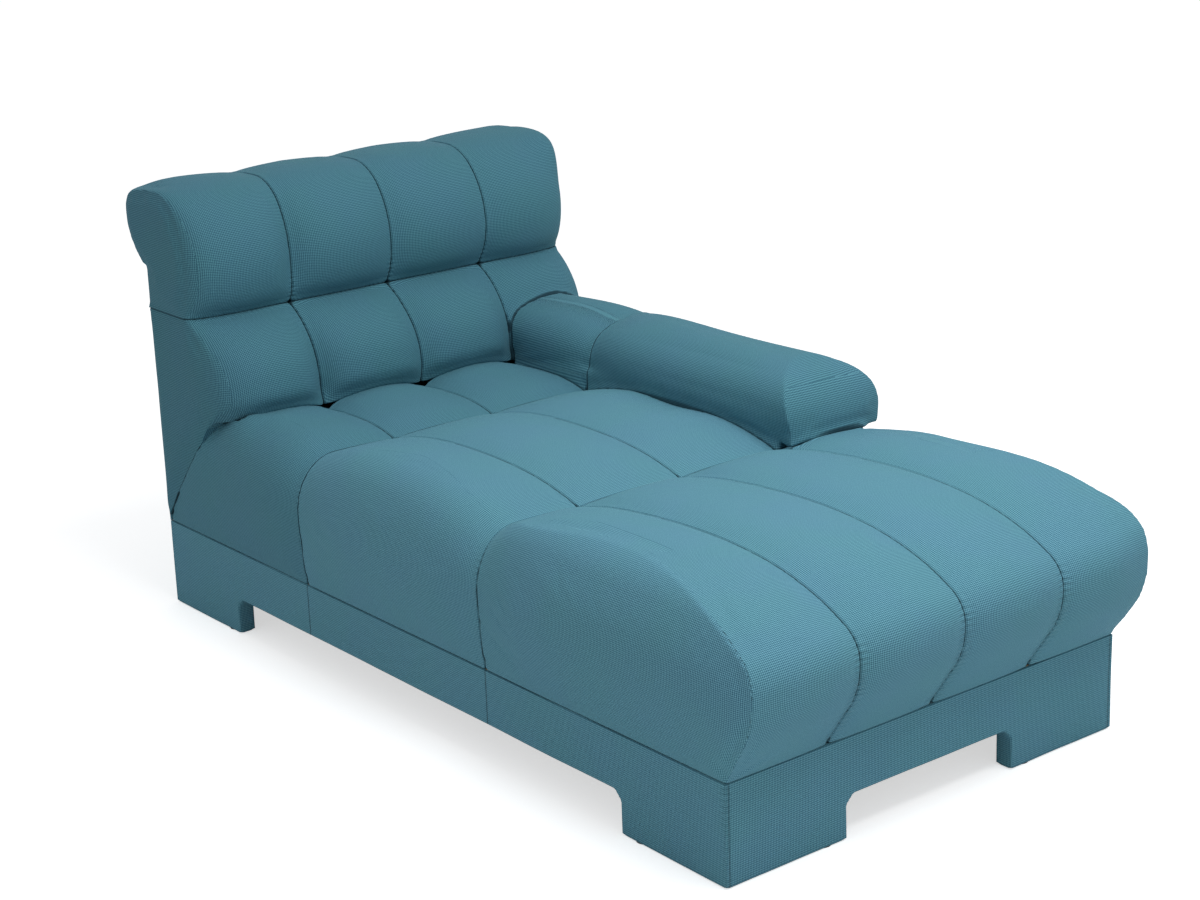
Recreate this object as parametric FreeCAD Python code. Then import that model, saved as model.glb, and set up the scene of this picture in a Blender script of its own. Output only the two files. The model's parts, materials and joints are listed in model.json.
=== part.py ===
import FreeCAD, Part
import math
import os

from FreeCAD import Vector

# Millimetres, +Z up. The foot end points to -Y, the backrest is at +Y and the one arm at +X.
# The origin is on the floor under the middle of the overall box.

# Plan: four columns across, three rows along, each row ending at a sewn seam
COLUMN_PITCH = 210.0
COLUMNS = 4
FOOT_ROW = 559.0           # front edge of the base to the front row seam
MIDDLE_ROW = 515.0
REAR_ROW = 222.0           # rear row seam to the joint of seat and back
BACK_DEPTH = 254.0         # that joint to the outside back
FOOT_OVERHANG = 80.0       # front pillows past the base
HEAD_OVERHANG = 70.0       # rolled head past the base
BASE_INSET = 15.0          # side of the base inside the outer column line
SIDE_SWELL = 5.0           # seat pillows past the outer column line
BACK_SIDE_INSET = 6.0      # ends of the back inside the outer column line
ARM_SIDE_INSET = 1.0       # widest line of the arm inside it
ARM_CORE_INSET = 23.0      # the column line to the arm's frame

# Depths measured along the object
BACK_LEAN = 95.0           # the back's seam lies this far behind the joint
SIDE_JOINT_RUN = 102.0     # at the sides the joint runs back this far before the diagonal seam
SIDE_JOINT_DROP = 53.0     # and down this far
JOINT_BEND_RUN = 60.0      # it bends on the way, this far behind
JOINT_BEND_DROP = 9.0      # and this far below its start
HEAD_CREST = 91.0          # crest of the head behind the back's seam
END_SETBACK = 24.0         # the back's rounded ends stand back by this
ROLL_END_SETBACK = 16.0    # and the ends of the roll forward by this
LOWER_GROOVES = (10.0, -6.0, 8.0)      # the three seams between columns, behind the joint
UPPER_GROOVES = (-12.0, -23.0, -31.0)  # and higher up, behind the back's seam
NOSE_TURN = 96.0           # the front pillows bend down over this depth
ARM_NOSE = 37.0            # front of the arm past the front row seam

# Heights above the floor
BASE_HEIGHT = 161.0
APRON_CLEARANCE = 70.0
DECK_HEIGHT = 262.0        # top of the seat rails
SEAM_HEIGHT = 384.0        # seams of the seat where they cross

# Heights above the seat's seams: first the crown of a row, then its seams between columns
FOOT_RISE = 46.0
FOOT_GROOVE_RISE = 32.0
MIDDLE_RISE = 44.0
MIDDLE_GROOVE_RISE = 30.0
REAR_RISE = 28.0
REAR_GROOVE_RISE = 11.0
JOINT_RISE = 10.0          # joint of seat and back
ARM_RISE = 137.0
ARM_SEAM_RISE = 121.0
ARM_CORNER_RISE = 22.0     # widest line of the arm's outer side
ARM_FOOT_RISE = 28.0       # here the arm's inner face leaves the seat pillow
ARM_REST_RISE = 8.0        # underside of the arm's nose on the front pillow

# Heights counted from a neighbour
BACK_SEAM_RISE = 175.0     # the back's seam above the joint
HEAD_RISE = 228.0          # top of the head above the back's seam
ROLL_DROP = 61.0           # rearmost line of the rolled head below its top
ROLL_TUCK_DROP = 153.0     # the roll tucks in behind the outside back here
ROLL_CORE_DROP = 42.0
POST_DROP = 107.0
DIAGONAL_END_RISE = 9.0    # lower end of the diagonal seam above the base

# Plinth
PANEL = 22.0
WRAP = 4.0                 # padded cloth round the plinth panels
FOOT_LENGTH = 230.0
CUTOUT_RADIUS = 25.0
GLIDE_RADIUS = 14.0
GLIDE_HEIGHT = 1.5
WRAP_RETURN = 25.0         # how far the cloth turns up inside, above the apron
BLOCK_LEG = 60.0
DUST_SHEET = 1.0

# Frame timber, boards, webbing and felt
RAIL = 25.0
FRAME_INSET = 25.0         # base side to the frame: the pad between them
BOARD = 15.0
BACK_BOARD = 4.0
STRAP_WIDTH = 50.0
STRAP = 2.0
LENGTH_STRAPS = 4
CROSS_STRAPS = 7
FELT = 3.5
PLATE = 3.0
BOLT_RADIUS = 4.0
BOLT_HEAD_RADIUS = 6.5
BOLT_HEAD = 5.0

# Pads
PILLOW_GAP = 0.5           # between two neighbouring pillows
REST_GAP = 0.4             # between a soft piece and what carries it
FOAM_INSET = 16.0          # foam block inside its pillow
FOAM_HEIGHT = 95.0
BACK_PAD = 34.0            # foam behind the back pillows
ARM_PAD = 22.0
SEAM_WELT = 1.2            # depth of the sewn seams in the plinth cloth
COLUMN_SHOULDER = 34.0     # from a seam between columns to where the pillow has turned over
ROW_SHOULDER = 70.0        # the same from the front row seam, at the crown of a front pillow
GROOVE_SHOULDER = 100.0    # and at its seams between columns
SHOULDER_RISE = 0.66       # how much of the pillow's rise lies on the seam's side of that

# Places that follow from the sizes above
LENGTH = FOOT_OVERHANG + FOOT_ROW + MIDDLE_ROW + REAR_ROW + BACK_DEPTH + HEAD_OVERHANG
NOSE_Y = -LENGTH / 2
BASE_FRONT = NOSE_Y + FOOT_OVERHANG
FRONT_SEAM = BASE_FRONT + FOOT_ROW
REAR_SEAM = FRONT_SEAM + MIDDLE_ROW
JOINT_Y = REAR_SEAM + REAR_ROW
BASE_REAR = JOINT_Y + BACK_DEPTH
TAIL_Y = BASE_REAR + HEAD_OVERHANG
JOINT_HEIGHT = SEAM_HEIGHT + JOINT_RISE
BACK_SEAM_HEIGHT = JOINT_HEIGHT + BACK_SEAM_RISE
OVERALL_HEIGHT = BACK_SEAM_HEIGHT + HEAD_RISE
ROLL_HEIGHT = OVERALL_HEIGHT - ROLL_DROP
ROLL_TUCK_HEIGHT = OVERALL_HEIGHT - ROLL_TUCK_DROP
ROLL_CORE_TOP = OVERALL_HEIGHT - ROLL_CORE_DROP
POST_TOP = OVERALL_HEIGHT - POST_DROP
ARM_CROWN = SEAM_HEIGHT + ARM_RISE
ARM_SEAM_HEIGHT = SEAM_HEIGHT + ARM_SEAM_RISE
ARM_CORNER_HEIGHT = SEAM_HEIGHT + ARM_CORNER_RISE
ARM_REST_HEIGHT = SEAM_HEIGHT + ARM_REST_RISE
SIDE = COLUMN_PITCH * COLUMNS / 2
BASE_SIDE = SIDE - BASE_INSET
SEAT_SIDE = SIDE + SIDE_SWELL
BACK_SIDE = SIDE - BACK_SIDE_INSET
ARM_SIDE = SIDE - ARM_SIDE_INSET
FRAME_SIDE = BASE_SIDE - FRAME_INSET
FRAME_FRONT = BASE_FRONT + FRAME_INSET
ARM_LINE = SIDE - COLUMN_PITCH
WEBBING_TOP = DECK_HEIGHT + 2 * STRAP + REST_GAP
PAD_BOTTOM = WEBBING_TOP + REST_GAP + FELT + REST_GAP
PLY_SIDE = BASE_SIDE - WRAP
PLY_FRONT = BASE_FRONT + WRAP
PLY_REAR = BASE_REAR - WRAP
PLY_BOTTOM = GLIDE_HEIGHT + WRAP
BLOCK_BOTTOM = APRON_CLEARANCE + WRAP_RETURN + 5
BOARD_REAR = BASE_REAR - WRAP
FRAME_REAR = BOARD_REAR - BACK_BOARD
BACK_SEAM_Y = JOINT_Y + BACK_LEAN
FAR = 2000.0


def save(node, shape):
    shape.exportStep("parts/" + node + ".step")


def box(x0, x1, y0, y1, z0, z1):
    return Part.makeBox(x1 - x0, y1 - y0, z1 - z0, Vector(x0, y0, z0))


def group(solids):
    return Part.makeCompound(solids)


def heading(degrees):
    turn = math.radians(degrees)
    return Vector(math.cos(turn), math.sin(turn), 0)


def across(x):
    """The plane of a side view, at x: an outline's first number is Y, its second Z."""
    return lambda p: Vector(x, p.x, p.y)


def along(y):
    """The plane of a front view, at y: an outline's first number is X, its second Z."""
    return lambda p: Vector(p.x, y, p.y)


def arc(place, start, direction, end):
    """An arc that leaves start along direction and ends at end, or a line where it is straight."""
    chord = end - start
    normal = Vector(-direction.y, direction.x, 0)
    lean = normal.dot(chord)
    if abs(lean) < 1e-6 * chord.Length:
        return Part.LineSegment(place(start), place(end)).toShape()
    centre = start + normal * (chord.dot(chord) / (2 * lean))
    to_chord = (start + end) * 0.5 - centre
    top = centre + to_chord * ((start - centre).Length / to_chord.Length)
    return Part.Arc(place(start), place(top), place(end)).toShape()


def far_heading(start, direction, end):
    """Heading at the other end of the arc that has the given heading at start."""
    chord = end - start
    chord.normalize()
    return chord * (2 * chord.dot(direction)) - direction


class Outline:
    """A closed outline in one plane, drawn with lines and with pairs of tangent arcs."""

    def __init__(self, place, a, b, degrees=0.0):
        self.place = place
        self.first = Vector(a, b, 0)
        self.at = self.first
        self.way = heading(degrees)
        self.edges = []

    def line(self, a, b):
        end = Vector(a, b, 0)
        self.edges.append(Part.LineSegment(self.place(self.at), self.place(end)).toShape())
        self.at = end
        return self

    def turn(self, degrees):
        self.way = heading(degrees)
        return self

    def arc_to(self, a, b):
        """One arc that leaves along the present heading."""
        end = Vector(a, b, 0)
        self.edges.append(arc(self.place, self.at, self.way, end))
        self.way = far_heading(self.at, self.way, end)
        self.at = end
        return self

    def curve(self, a, b, degrees):
        """Two tangent arcs from the present heading to the given point and heading."""
        end = Vector(a, b, 0)
        leave = self.way
        arrive = heading(degrees)
        step = end - self.at
        spread = 2 * (1 - leave.dot(arrive))
        reach = step.dot(leave + arrive)
        size = (math.sqrt(reach ** 2 + spread * step.dot(step)) - reach) / spread
        middle = (self.at + end + (leave - arrive) * size) * 0.5
        return self.arc_to(middle.x, middle.y).arc_to(a, b)

    def swell(self, shoulder_a, shoulder_b, crown_a, crown_b):
        """Two tangent arcs from a seam over a shoulder to the crown, where the outline is level."""
        shoulder = Vector(shoulder_a, shoulder_b, 0)
        crown = Vector(crown_a, crown_b, 0)
        level = heading(0 if crown_a > self.at.x else 180)
        at_shoulder = far_heading(crown, level, shoulder)
        self.way = far_heading(shoulder, at_shoulder, self.at)
        return self.arc_to(shoulder_a, shoulder_b).arc_to(crown_a, crown_b)

    def settle(self, shoulder_a, shoulder_b, seam_a, seam_b):
        """The same from the crown down to a seam."""
        return self.arc_to(shoulder_a, shoulder_b).arc_to(seam_a, seam_b)

    def wire(self):
        if (self.at - self.first).Length > 1e-6:
            self.line(self.first.x, self.first.y)
        return Part.Wire(self.edges)


def prism(outline, direction):
    return Part.Face(outline.wire()).extrude(direction)


def side_prism(x0, x1, points):
    """A straight block across the object with the given side view."""
    outline = Outline(across(x0), *points[0])
    for a, b in points[1:]:
        outline.line(a, b)
    return prism(outline, Vector(x1 - x0, 0, 0))


def front_prism(y0, y1, points):
    """A straight block along the object with the given front view."""
    outline = Outline(along(y0), *points[0])
    for a, b in points[1:]:
        outline.line(a, b)
    return prism(outline, Vector(0, y1 - y0, 0))


def loft(outlines):
    return Part.makeLoft([outline.wire() for outline in outlines], True, False, False, 3)


def mix(low, high, share):
    return low + (high - low) * share


def column_edges(column):
    """Left and right X of a column, 1 to 4, less half the gap to its neighbours."""
    left = -SIDE + (column - 1) * COLUMN_PITCH
    return left + PILLOW_GAP / 2, left + COLUMN_PITCH - PILLOW_GAP / 2


# Plinth

def plinth_ring(grow, top):
    """The four walls of the plinth, grown outwards and inwards from the plywood by grow."""
    side = PLY_SIDE + grow
    front = PLY_FRONT - grow
    rear = PLY_REAR + grow
    inner = PANEL + 2 * grow
    bottom = PLY_BOTTOM - grow
    ring = box(-side, side, front, rear, bottom, top)
    ring = ring.cut(box(-side + inner, side - inner, front + inner, rear - inner, bottom - 1, top + 1))
    apron = APRON_CLEARANCE + WRAP - grow
    foot = FOOT_LENGTH - WRAP + grow
    radius = CUTOUT_RADIUS + WRAP - grow
    slot_across = cutout(across(-FAR), BASE_FRONT + foot, BASE_REAR - foot, apron, radius)
    slot_along = cutout(along(-FAR), -BASE_SIDE + foot, BASE_SIDE - foot, apron, radius)
    ring = ring.cut(prism(slot_across, Vector(2 * FAR, 0, 0)))
    return ring.cut(prism(slot_along, Vector(0, 2 * FAR, 0)))


def cutout(place, start, end, apron, radius):
    """The opening between two feet, with rounded upper corners."""
    outline = Outline(place, start, -1)
    outline.line(start, apron - radius).turn(90).curve(start + radius, apron, 0)
    outline.line(end - radius, apron).turn(0).curve(end, apron - radius, -90)
    return outline.line(end, -1)


def corner_wedges():
    """Four regions that meet on the mitres through the corners of the base."""
    reach = BASE_SIDE
    front = [(-BASE_SIDE, BASE_FRONT), (BASE_SIDE, BASE_FRONT)]
    rear = [(BASE_SIDE, BASE_REAR), (-BASE_SIDE, BASE_REAR)]
    inner_front = BASE_FRONT + reach
    inner_rear = BASE_REAR - reach
    regions = {
        "front": front + [(0, inner_front)],
        "rear": rear + [(0, inner_rear)],
        "left": [front[0], (0, inner_front), (0, inner_rear), rear[1]],
        "right": [front[1], (0, inner_front), (0, inner_rear), rear[0]],
    }
    wedges = {}
    for name, points in regions.items():
        outline = Outline(lambda p: Vector(p.x, p.y, 0), *points[0])
        for a, b in points[1:]:
            outline.line(a, b)
        wedges[name] = prism(outline, Vector(0, 0, BASE_HEIGHT))
    return wedges


def seam_groove(y):
    """The sewn seam that crosses the plinth cloth on both long sides."""
    depth = BASE_SIDE - SEAM_WELT
    notch = [(BASE_SIDE + 1, y - 2), (depth, y), (BASE_SIDE + 1, y + 2)]
    grooves = []
    for sign in (-1, 1):
        outline = Outline(lambda p: Vector(sign * p.x, p.y, 0), *notch[0])
        for a, b in notch[1:]:
            outline.line(a, b)
        grooves.append(prism(outline, Vector(0, 0, BASE_HEIGHT + 1)))
    return group(grooves)


def make_plinth():
    ply = plinth_ring(0, BASE_HEIGHT)
    between = PLY_SIDE - PANEL
    inside_front = PLY_FRONT + PANEL
    inside_rear = PLY_REAR - PANEL
    for name, sign in (("left", -1), ("right", 1)):
        slab = box(0, FAR, -FAR, FAR, 0, FAR).cut(box(-1, between, -FAR, FAR, -1, FAR + 1))
        if sign < 0:
            slab = slab.mirror(Vector(), Vector(1, 0, 0))
        save("plinth_panel_" + name, ply.common(slab))
    middle = box(-between, between, BASE_FRONT, inside_front, 0, BASE_HEIGHT)
    save("plinth_panel_front", ply.common(middle))
    middle = box(-between, between, inside_rear, BASE_REAR, 0, BASE_HEIGHT)
    save("plinth_panel_rear", ply.common(middle))

    cloth = plinth_ring(WRAP, BASE_HEIGHT).cut(ply)
    bare = WRAP + PANEL
    return_top = APRON_CLEARANCE + WRAP_RETURN
    cloth = cloth.cut(box(-BASE_SIDE + bare, BASE_SIDE - bare, BASE_FRONT + bare, BASE_REAR - bare,
                          return_top, BASE_HEIGHT + 1))
    cloth = cloth.cut(seam_groove(FRONT_SEAM)).cut(seam_groove(REAR_SEAM))
    for name, wedge in corner_wedges().items():
        save("plinth_cover_" + name, cloth.common(wedge))

    blocks = []
    for sx in (-1, 1):
        for corner_y, sy in ((inside_front, 1), (inside_rear, -1)):
            corner = Outline(lambda p: Vector(p.x, p.y, BLOCK_BOTTOM), sx * between, corner_y)
            corner.line(sx * (between - BLOCK_LEG), corner_y)
            corner.line(sx * between, corner_y + sy * BLOCK_LEG)
            blocks.append(prism(corner, Vector(0, 0, BASE_HEIGHT - BLOCK_BOTTOM)))
    save("plinth_corner_blocks", group(blocks))

    rails = []
    for y in cross_rail_places():
        rails.append(box(-between, between, y, y + RAIL, BLOCK_BOTTOM, BASE_HEIGHT))
    save("plinth_cross_rails", group(rails))
    save("dust_cover", box(-between, between, inside_front, inside_rear,
                           BLOCK_BOTTOM - DUST_SHEET, BLOCK_BOTTOM))

    glides = []
    leg = FOOT_LENGTH - 2.5 * GLIDE_RADIUS
    middle_of_wall = PANEL / 2 + WRAP
    for sx in (-1, 1):
        for corner_y, sy in ((BASE_FRONT, 1), (BASE_REAR, -1)):
            places = ((BASE_SIDE - middle_of_wall, leg), (BASE_SIDE - leg, middle_of_wall))
            for x, y in places:
                foot = Vector(sx * x, corner_y + sy * y, 0)
                glides.append(Part.makeCylinder(GLIDE_RADIUS, GLIDE_HEIGHT, foot))
    save("foot_glides", group(glides))


def cross_rail_places():
    """Front faces of the rails that cross the base: under both ends and the middle of the arm."""
    front = FRONT_SEAM + RAIL
    rear = JOINT_Y - RAIL - 1
    return front, (front + rear) / 2, rear


# Seat frame

def make_seat_frame():
    inner = FRAME_SIDE - RAIL
    front_rail, _, rear_rail = cross_rail_places()
    left = box(-FRAME_SIDE, -inner, FRAME_FRONT, post_front(), BASE_HEIGHT, DECK_HEIGHT)
    right = box(inner, FRAME_SIDE, FRAME_FRONT, post_front(), BASE_HEIGHT, DECK_HEIGHT)
    for hole in plate_holes(-1):
        left = left.cut(hole)
    for hole in plate_holes(1):
        right = right.cut(hole)
    save("seat_rail_left", left)
    save("seat_rail_right", right)
    save("seat_rail_front", box(-inner, inner, FRAME_FRONT, FRAME_FRONT + RAIL, BASE_HEIGHT, DECK_HEIGHT))
    save("seat_rail_middle", box(-inner, inner, front_rail, front_rail + RAIL, BASE_HEIGHT, DECK_HEIGHT))
    save("seat_rail_rear", box(-inner, inner, rear_rail, rear_rail + RAIL, BASE_HEIGHT, DECK_HEIGHT))
    save("seat_joist_arm", box(ARM_LINE + 5, ARM_LINE + 5 + RAIL + BOARD, front_rail + RAIL, rear_rail,
                               BASE_HEIGHT, DECK_HEIGHT))


def woven_strap(place, start, end, crossings, first_over, reach):
    """Side view of a strap that lies on a rail at both ends and passes over and under the others."""
    low = DECK_HEIGHT
    high = DECK_HEIGHT + STRAP + REST_GAP
    flat = STRAP_WIDTH / 2 + 3
    ramp = 12
    route = [(start, low)]
    level = low
    for number, middle in enumerate(crossings):
        over = (number % 2 == 0) == first_over
        new_level = high if over else low
        if new_level != level:
            route.append((middle - flat - ramp, level))
            route.append((middle - flat, new_level))
        level = new_level
    if level != low:
        route.append((crossings[-1] + flat, level))
        route.append((crossings[-1] + flat + ramp, low))
    route.append((end, low))
    outline = Outline(place, *route[0])
    for a, b in route[1:]:
        outline.line(a, b)
    for a, b in reversed(route):
        outline.line(a, b + STRAP)
    return prism(outline, reach)


def spread(start, end, count):
    """Middles of count straps, evenly spaced between two frame members."""
    step = (end - start) / count
    return [start + step * (number + 0.5) for number in range(count)]


def make_webbing():
    front_rail, _, rear_rail = cross_rail_places()
    left_end = -FRAME_SIDE + 5
    front_end = FRAME_FRONT + 4
    rear_end = rear_rail + RAIL - 4
    lengthwise = spread(-FRAME_SIDE + RAIL, ARM_LINE, LENGTH_STRAPS)
    in_front = spread(FRAME_FRONT + RAIL, front_rail, CROSS_STRAPS // 2)
    behind = spread(front_rail + RAIL, rear_rail, CROSS_STRAPS - CROSS_STRAPS // 2)
    wide = STRAP_WIDTH / 2
    straps = []
    for number, y in enumerate(in_front + behind):
        right_end = FRAME_SIDE - 5 if y < front_rail else ARM_LINE + ARM_CORE_INSET - 3
        straps.append(woven_strap(along(y - wide), left_end, right_end, lengthwise, number % 2 == 0,
                                  Vector(0, STRAP_WIDTH, 0)))
    save("webbing_crosswise", group(straps))
    straps = []
    for number, x in enumerate(lengthwise):
        straps.append(woven_strap(across(x - wide), front_end, rear_end, in_front + behind,
                                  number % 2 == 1, Vector(STRAP_WIDTH, 0, 0)))
    save("webbing_lengthwise", group(straps))
    felt_bottom = WEBBING_TOP + REST_GAP
    felt = box(-FRAME_SIDE, FRAME_SIDE, FRAME_FRONT, JOINT_Y - 2, felt_bottom, felt_bottom + FELT)
    beside_arm = box(ARM_LINE + PILLOW_GAP, FAR, FRONT_SEAM, FAR, 0, FAR)
    save("seat_felt", felt.cut(beside_arm))


# Seat pillows

def foot_outline(x, share):
    """Side view of a front pillow, from a seam between columns (share 0) to its crown (share 1)."""
    seam_y = FRONT_SEAM - PILLOW_GAP / 2
    crown_y = FRONT_SEAM - 0.55 * FOOT_ROW
    crown_z = SEAM_HEIGHT + mix(FOOT_GROOVE_RISE, FOOT_RISE, share)
    nose_y = mix(NOSE_Y + 13, NOSE_Y, share)
    nose_z = mix(BASE_HEIGHT + 142, BASE_HEIGHT + 147, share)
    foot_y = mix(BASE_FRONT + 2, BASE_FRONT - 3, share)
    bottom = BASE_HEIGHT + REST_GAP
    seam_z = mix(SEAM_HEIGHT - 3, SEAM_HEIGHT + 1, share)
    outline = Outline(across(x), seam_y, seam_z)
    shoulder = mix(GROOVE_SHOULDER, ROW_SHOULDER, share)
    outline.swell(seam_y - shoulder, mix(seam_z, crown_z, 0.62), crown_y, crown_z)
    outline.curve(NOSE_Y + NOSE_TURN, crown_z - 37, 201).curve(nose_y, nose_z, 270)
    outline.curve(foot_y, bottom, mix(302, 308, share))
    return outline.line(seam_y, bottom)


def side_outline(y, share, seam_z, crown_z, sign):
    """Front view of an outer seat pillow that rolls over the side down to the base."""
    seam_x = SIDE - COLUMN_PITCH + PILLOW_GAP / 2
    crown_x = SIDE - 0.42 * COLUMN_PITCH
    side_x = mix(SEAT_SIDE - 11, SEAT_SIDE, share)
    side_z = BASE_HEIGHT + mix(132, 142, share)
    bottom = BASE_HEIGHT + REST_GAP
    place = lambda p: Vector(sign * p.x, y, p.y)
    outline = Outline(place, seam_x, seam_z)
    outline.swell(seam_x + COLUMN_SHOULDER, mix(seam_z, crown_z, SHOULDER_RISE), crown_x, crown_z)
    outline.curve(side_x, side_z, 270)
    outline.curve(BASE_SIDE + 0.5, bottom, 262)
    return outline.line(seam_x, bottom)


def top_outline(y, left, right, seam_z, crown_z):
    """Front view of an inner seat pillow."""
    shoulder_z = mix(seam_z, crown_z, SHOULDER_RISE)
    outline = Outline(along(y), left, seam_z)
    outline.swell(left + COLUMN_SHOULDER, shoulder_z, (left + right) / 2, crown_z)
    outline.settle(right - COLUMN_SHOULDER, shoulder_z, right, seam_z)
    outline.line(right, PAD_BOTTOM)
    return outline.line(left, PAD_BOTTOM)


def seat_levels(row, share):
    """Seam and crown heights of a row, from a seam across the seat (share 0) to its middle (1)."""
    seam_rise, crown_rise = REAR_GROOVE_RISE, REAR_RISE
    if row == "middle":
        seam_rise, crown_rise = MIDDLE_GROOVE_RISE, MIDDLE_RISE
    return SEAM_HEIGHT + mix(-3, seam_rise, share), SEAM_HEIGHT + mix(1, crown_rise, share)


def seat_sections(row):
    """Where a row's pillows are cut to be drawn: (y, seam height, crown height)."""
    start, end = (FRONT_SEAM, REAR_SEAM) if row == "middle" else (REAR_SEAM, JOINT_Y)
    start += PILLOW_GAP / 2
    end -= PILLOW_GAP / 2
    lead = min(60, (end - start) * 0.2)
    near, far = (0.5, 0.5) if row == "middle" else (0.68, 0.8)
    places = ((start, 0.0), (start + lead, near), ((start + end) / 2, 1.0), (end - lead, far))
    sections = [(y, *seat_levels(row, share)) for y, share in places]
    if row == "middle":
        sections.append((end, *seat_levels(row, 0.0)))
    else:
        sections.append((end, JOINT_HEIGHT - 6, JOINT_HEIGHT - REST_GAP))
    return sections


def inner_seat_pillow(column, row):
    left, right = column_edges(column)
    return loft([top_outline(y, left, right, seam_z, crown_z) for y, seam_z, crown_z in seat_sections(row)])


def outer_seat_pillow():
    """The middle outer pillow: its side is fullest where its top is."""
    outlines = []
    for (y, seam_z, crown_z), share in zip(seat_sections("middle"), (0.0, 0.68, 1.0, 0.68, 0.0)):
        outlines.append(side_outline(y, share, seam_z, crown_z, -1))
    return loft(outlines)


def rear_corner_pillow():
    """The rear outer pillow, whose side runs back under the diagonal seam to the outside back."""
    end = BOARD_REAR - REST_GAP
    start = REAR_SEAM + PILLOW_GAP / 2
    stations = ((start, 0.0), (start + 45, 0.68), (start + 115, 1.0), (JOINT_Y, 0.62),
                (mix(JOINT_Y, end, 0.5), 0.4), (end, 0.0))
    outlines = []
    for y, share in stations:
        seam_z, crown_z = seat_levels("rear", share)
        outlines.append(side_outline(y, share, seam_z, crown_z, -1))
    return loft(outlines).cut(back_zone(-REST_GAP / 2)).cut(inside_back_core())


def column_stations(left, right):
    """Where a pillow is cut across its columns: (x, how full it is) from seam to seam."""
    lead = 32
    return ((left, 0.0), (left + lead, 0.66), ((left + right) / 2, 1.0), (right - lead, 0.66), (right, 0.0))


def foot_pillow(column):
    left, right = column_edges(column)
    if column in (1, COLUMNS):
        return foot_corner_pillow(-1 if column == 1 else 1)
    return loft([foot_outline(x, share) for x, share in column_stations(left, right)])


def foot_corner_pillow(sign):
    """An outer front pillow: the roll over the front and the roll over the side meet in a crease."""
    seam_x = SIDE - COLUMN_PITCH + PILLOW_GAP / 2
    stations = ((seam_x, 0.0), (seam_x + 32, 0.66), (seam_x + 95, 0.99), (seam_x + 150, 0.92),
                (SEAT_SIDE + 30, 0.15))
    front_roll = loft([foot_outline(sign * x, share) for x, share in stations])
    seam_y = FRONT_SEAM - PILLOW_GAP / 2
    sections = []
    for y, share in ((seam_y, 0.0), (seam_y - 60, 0.7), (seam_y - 190, 0.98), (seam_y - 400, 1.0),
                     (NOSE_Y - 30, 0.55)):
        crown = SEAM_HEIGHT + mix(1, FOOT_RISE, share) + 3
        sections.append(side_outline(y, share, crown + 9, crown, sign))
    return front_roll.common(loft(sections))


def seat_core():
    """The room of the seat frame, webbing and felt."""
    return box(-FRAME_SIDE - REST_GAP, FRAME_SIDE + REST_GAP, FRAME_FRONT - REST_GAP, FAR, 0, PAD_BOTTOM)


def foam_block(left, right, start, end, gap):
    return box(left + FOAM_INSET - gap, right - FOAM_INSET + gap, start + FOAM_INSET - gap,
               end - FOAM_INSET + gap, PAD_BOTTOM - gap, PAD_BOTTOM + FOAM_HEIGHT + gap)


def make_seat_pillows():
    core = seat_core()
    nose_room = FRAME_FRONT + FOAM_INSET
    rows = (("front", nose_room, FRONT_SEAM, COLUMNS),
            ("middle", FRONT_SEAM, REAR_SEAM, COLUMNS - 1),
            ("rear", REAR_SEAM, JOINT_Y, COLUMNS - 1))
    for row, start, end, count in rows:
        blocks = []
        for column in range(1, count + 1):
            left, right = column_edges(column)
            if column == 1:
                left = -FRAME_SIDE
            if column == COLUMNS:
                right = FRAME_SIDE
            if row == "front":
                form = foot_pillow(column)
            elif column > 1:
                form = inner_seat_pillow(column, row)
            elif row == "middle":
                form = outer_seat_pillow()
            else:
                form = rear_corner_pillow()
            if row == "front" and column == COLUMNS:
                form = form.cut(arm_seat_notch())
            form = form.cut(core).cut(foam_block(left, right, start, end, REST_GAP))
            save("seat_pillow_%s_%d" % (row, column), form)
            blocks.append(foam_block(left, right, start, end, 0))
        save("seat_foam_" + row, group(blocks))


# Back

def joint_line():
    """Side view of the joint of seat and back, which bends down to the diagonal seam to the base."""
    bend = (JOINT_Y + JOINT_BEND_RUN, JOINT_HEIGHT - JOINT_BEND_DROP)
    corner = (JOINT_Y + SIDE_JOINT_RUN, JOINT_HEIGHT - SIDE_JOINT_DROP)
    return (JOINT_Y, JOINT_HEIGHT), bend, corner, (BOARD_REAR, BASE_HEIGHT + DIAGONAL_END_RISE)


def joint_height(y):
    """Height of the joint at y, between its start and the head of the diagonal seam."""
    start, bend, corner, _ = joint_line()
    (y0, z0), (y1, z1) = (start, bend) if y < bend[0] else (bend, corner)
    return mix(z0, z1, (y - y0) / (y1 - y0))


def groove(x, grooves):
    """Depth of the seam between columns that is nearest to x."""
    number = round((x + SIDE) / COLUMN_PITCH)
    return grooves[min(max(number, 1), COLUMNS - 1) - 1]


def back_zone(shift):
    """Everything above and behind the joint line, which is moved up by shift."""
    points = [(a, b + shift) for a, b in joint_line()]
    points += [(FAR, points[-1][1]), (FAR, FAR), (JOINT_Y - 300, FAR), (JOINT_Y - 300, points[0][1] + 80)]
    return side_prism(-FAR, FAR, points)


def inside_back_core():
    """Room behind the seat pillows, inside the side pads."""
    limit = FRAME_SIDE + REST_GAP
    return box(-limit, limit, JOINT_Y - PILLOW_GAP / 2, FAR, 0, FAR)


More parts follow.
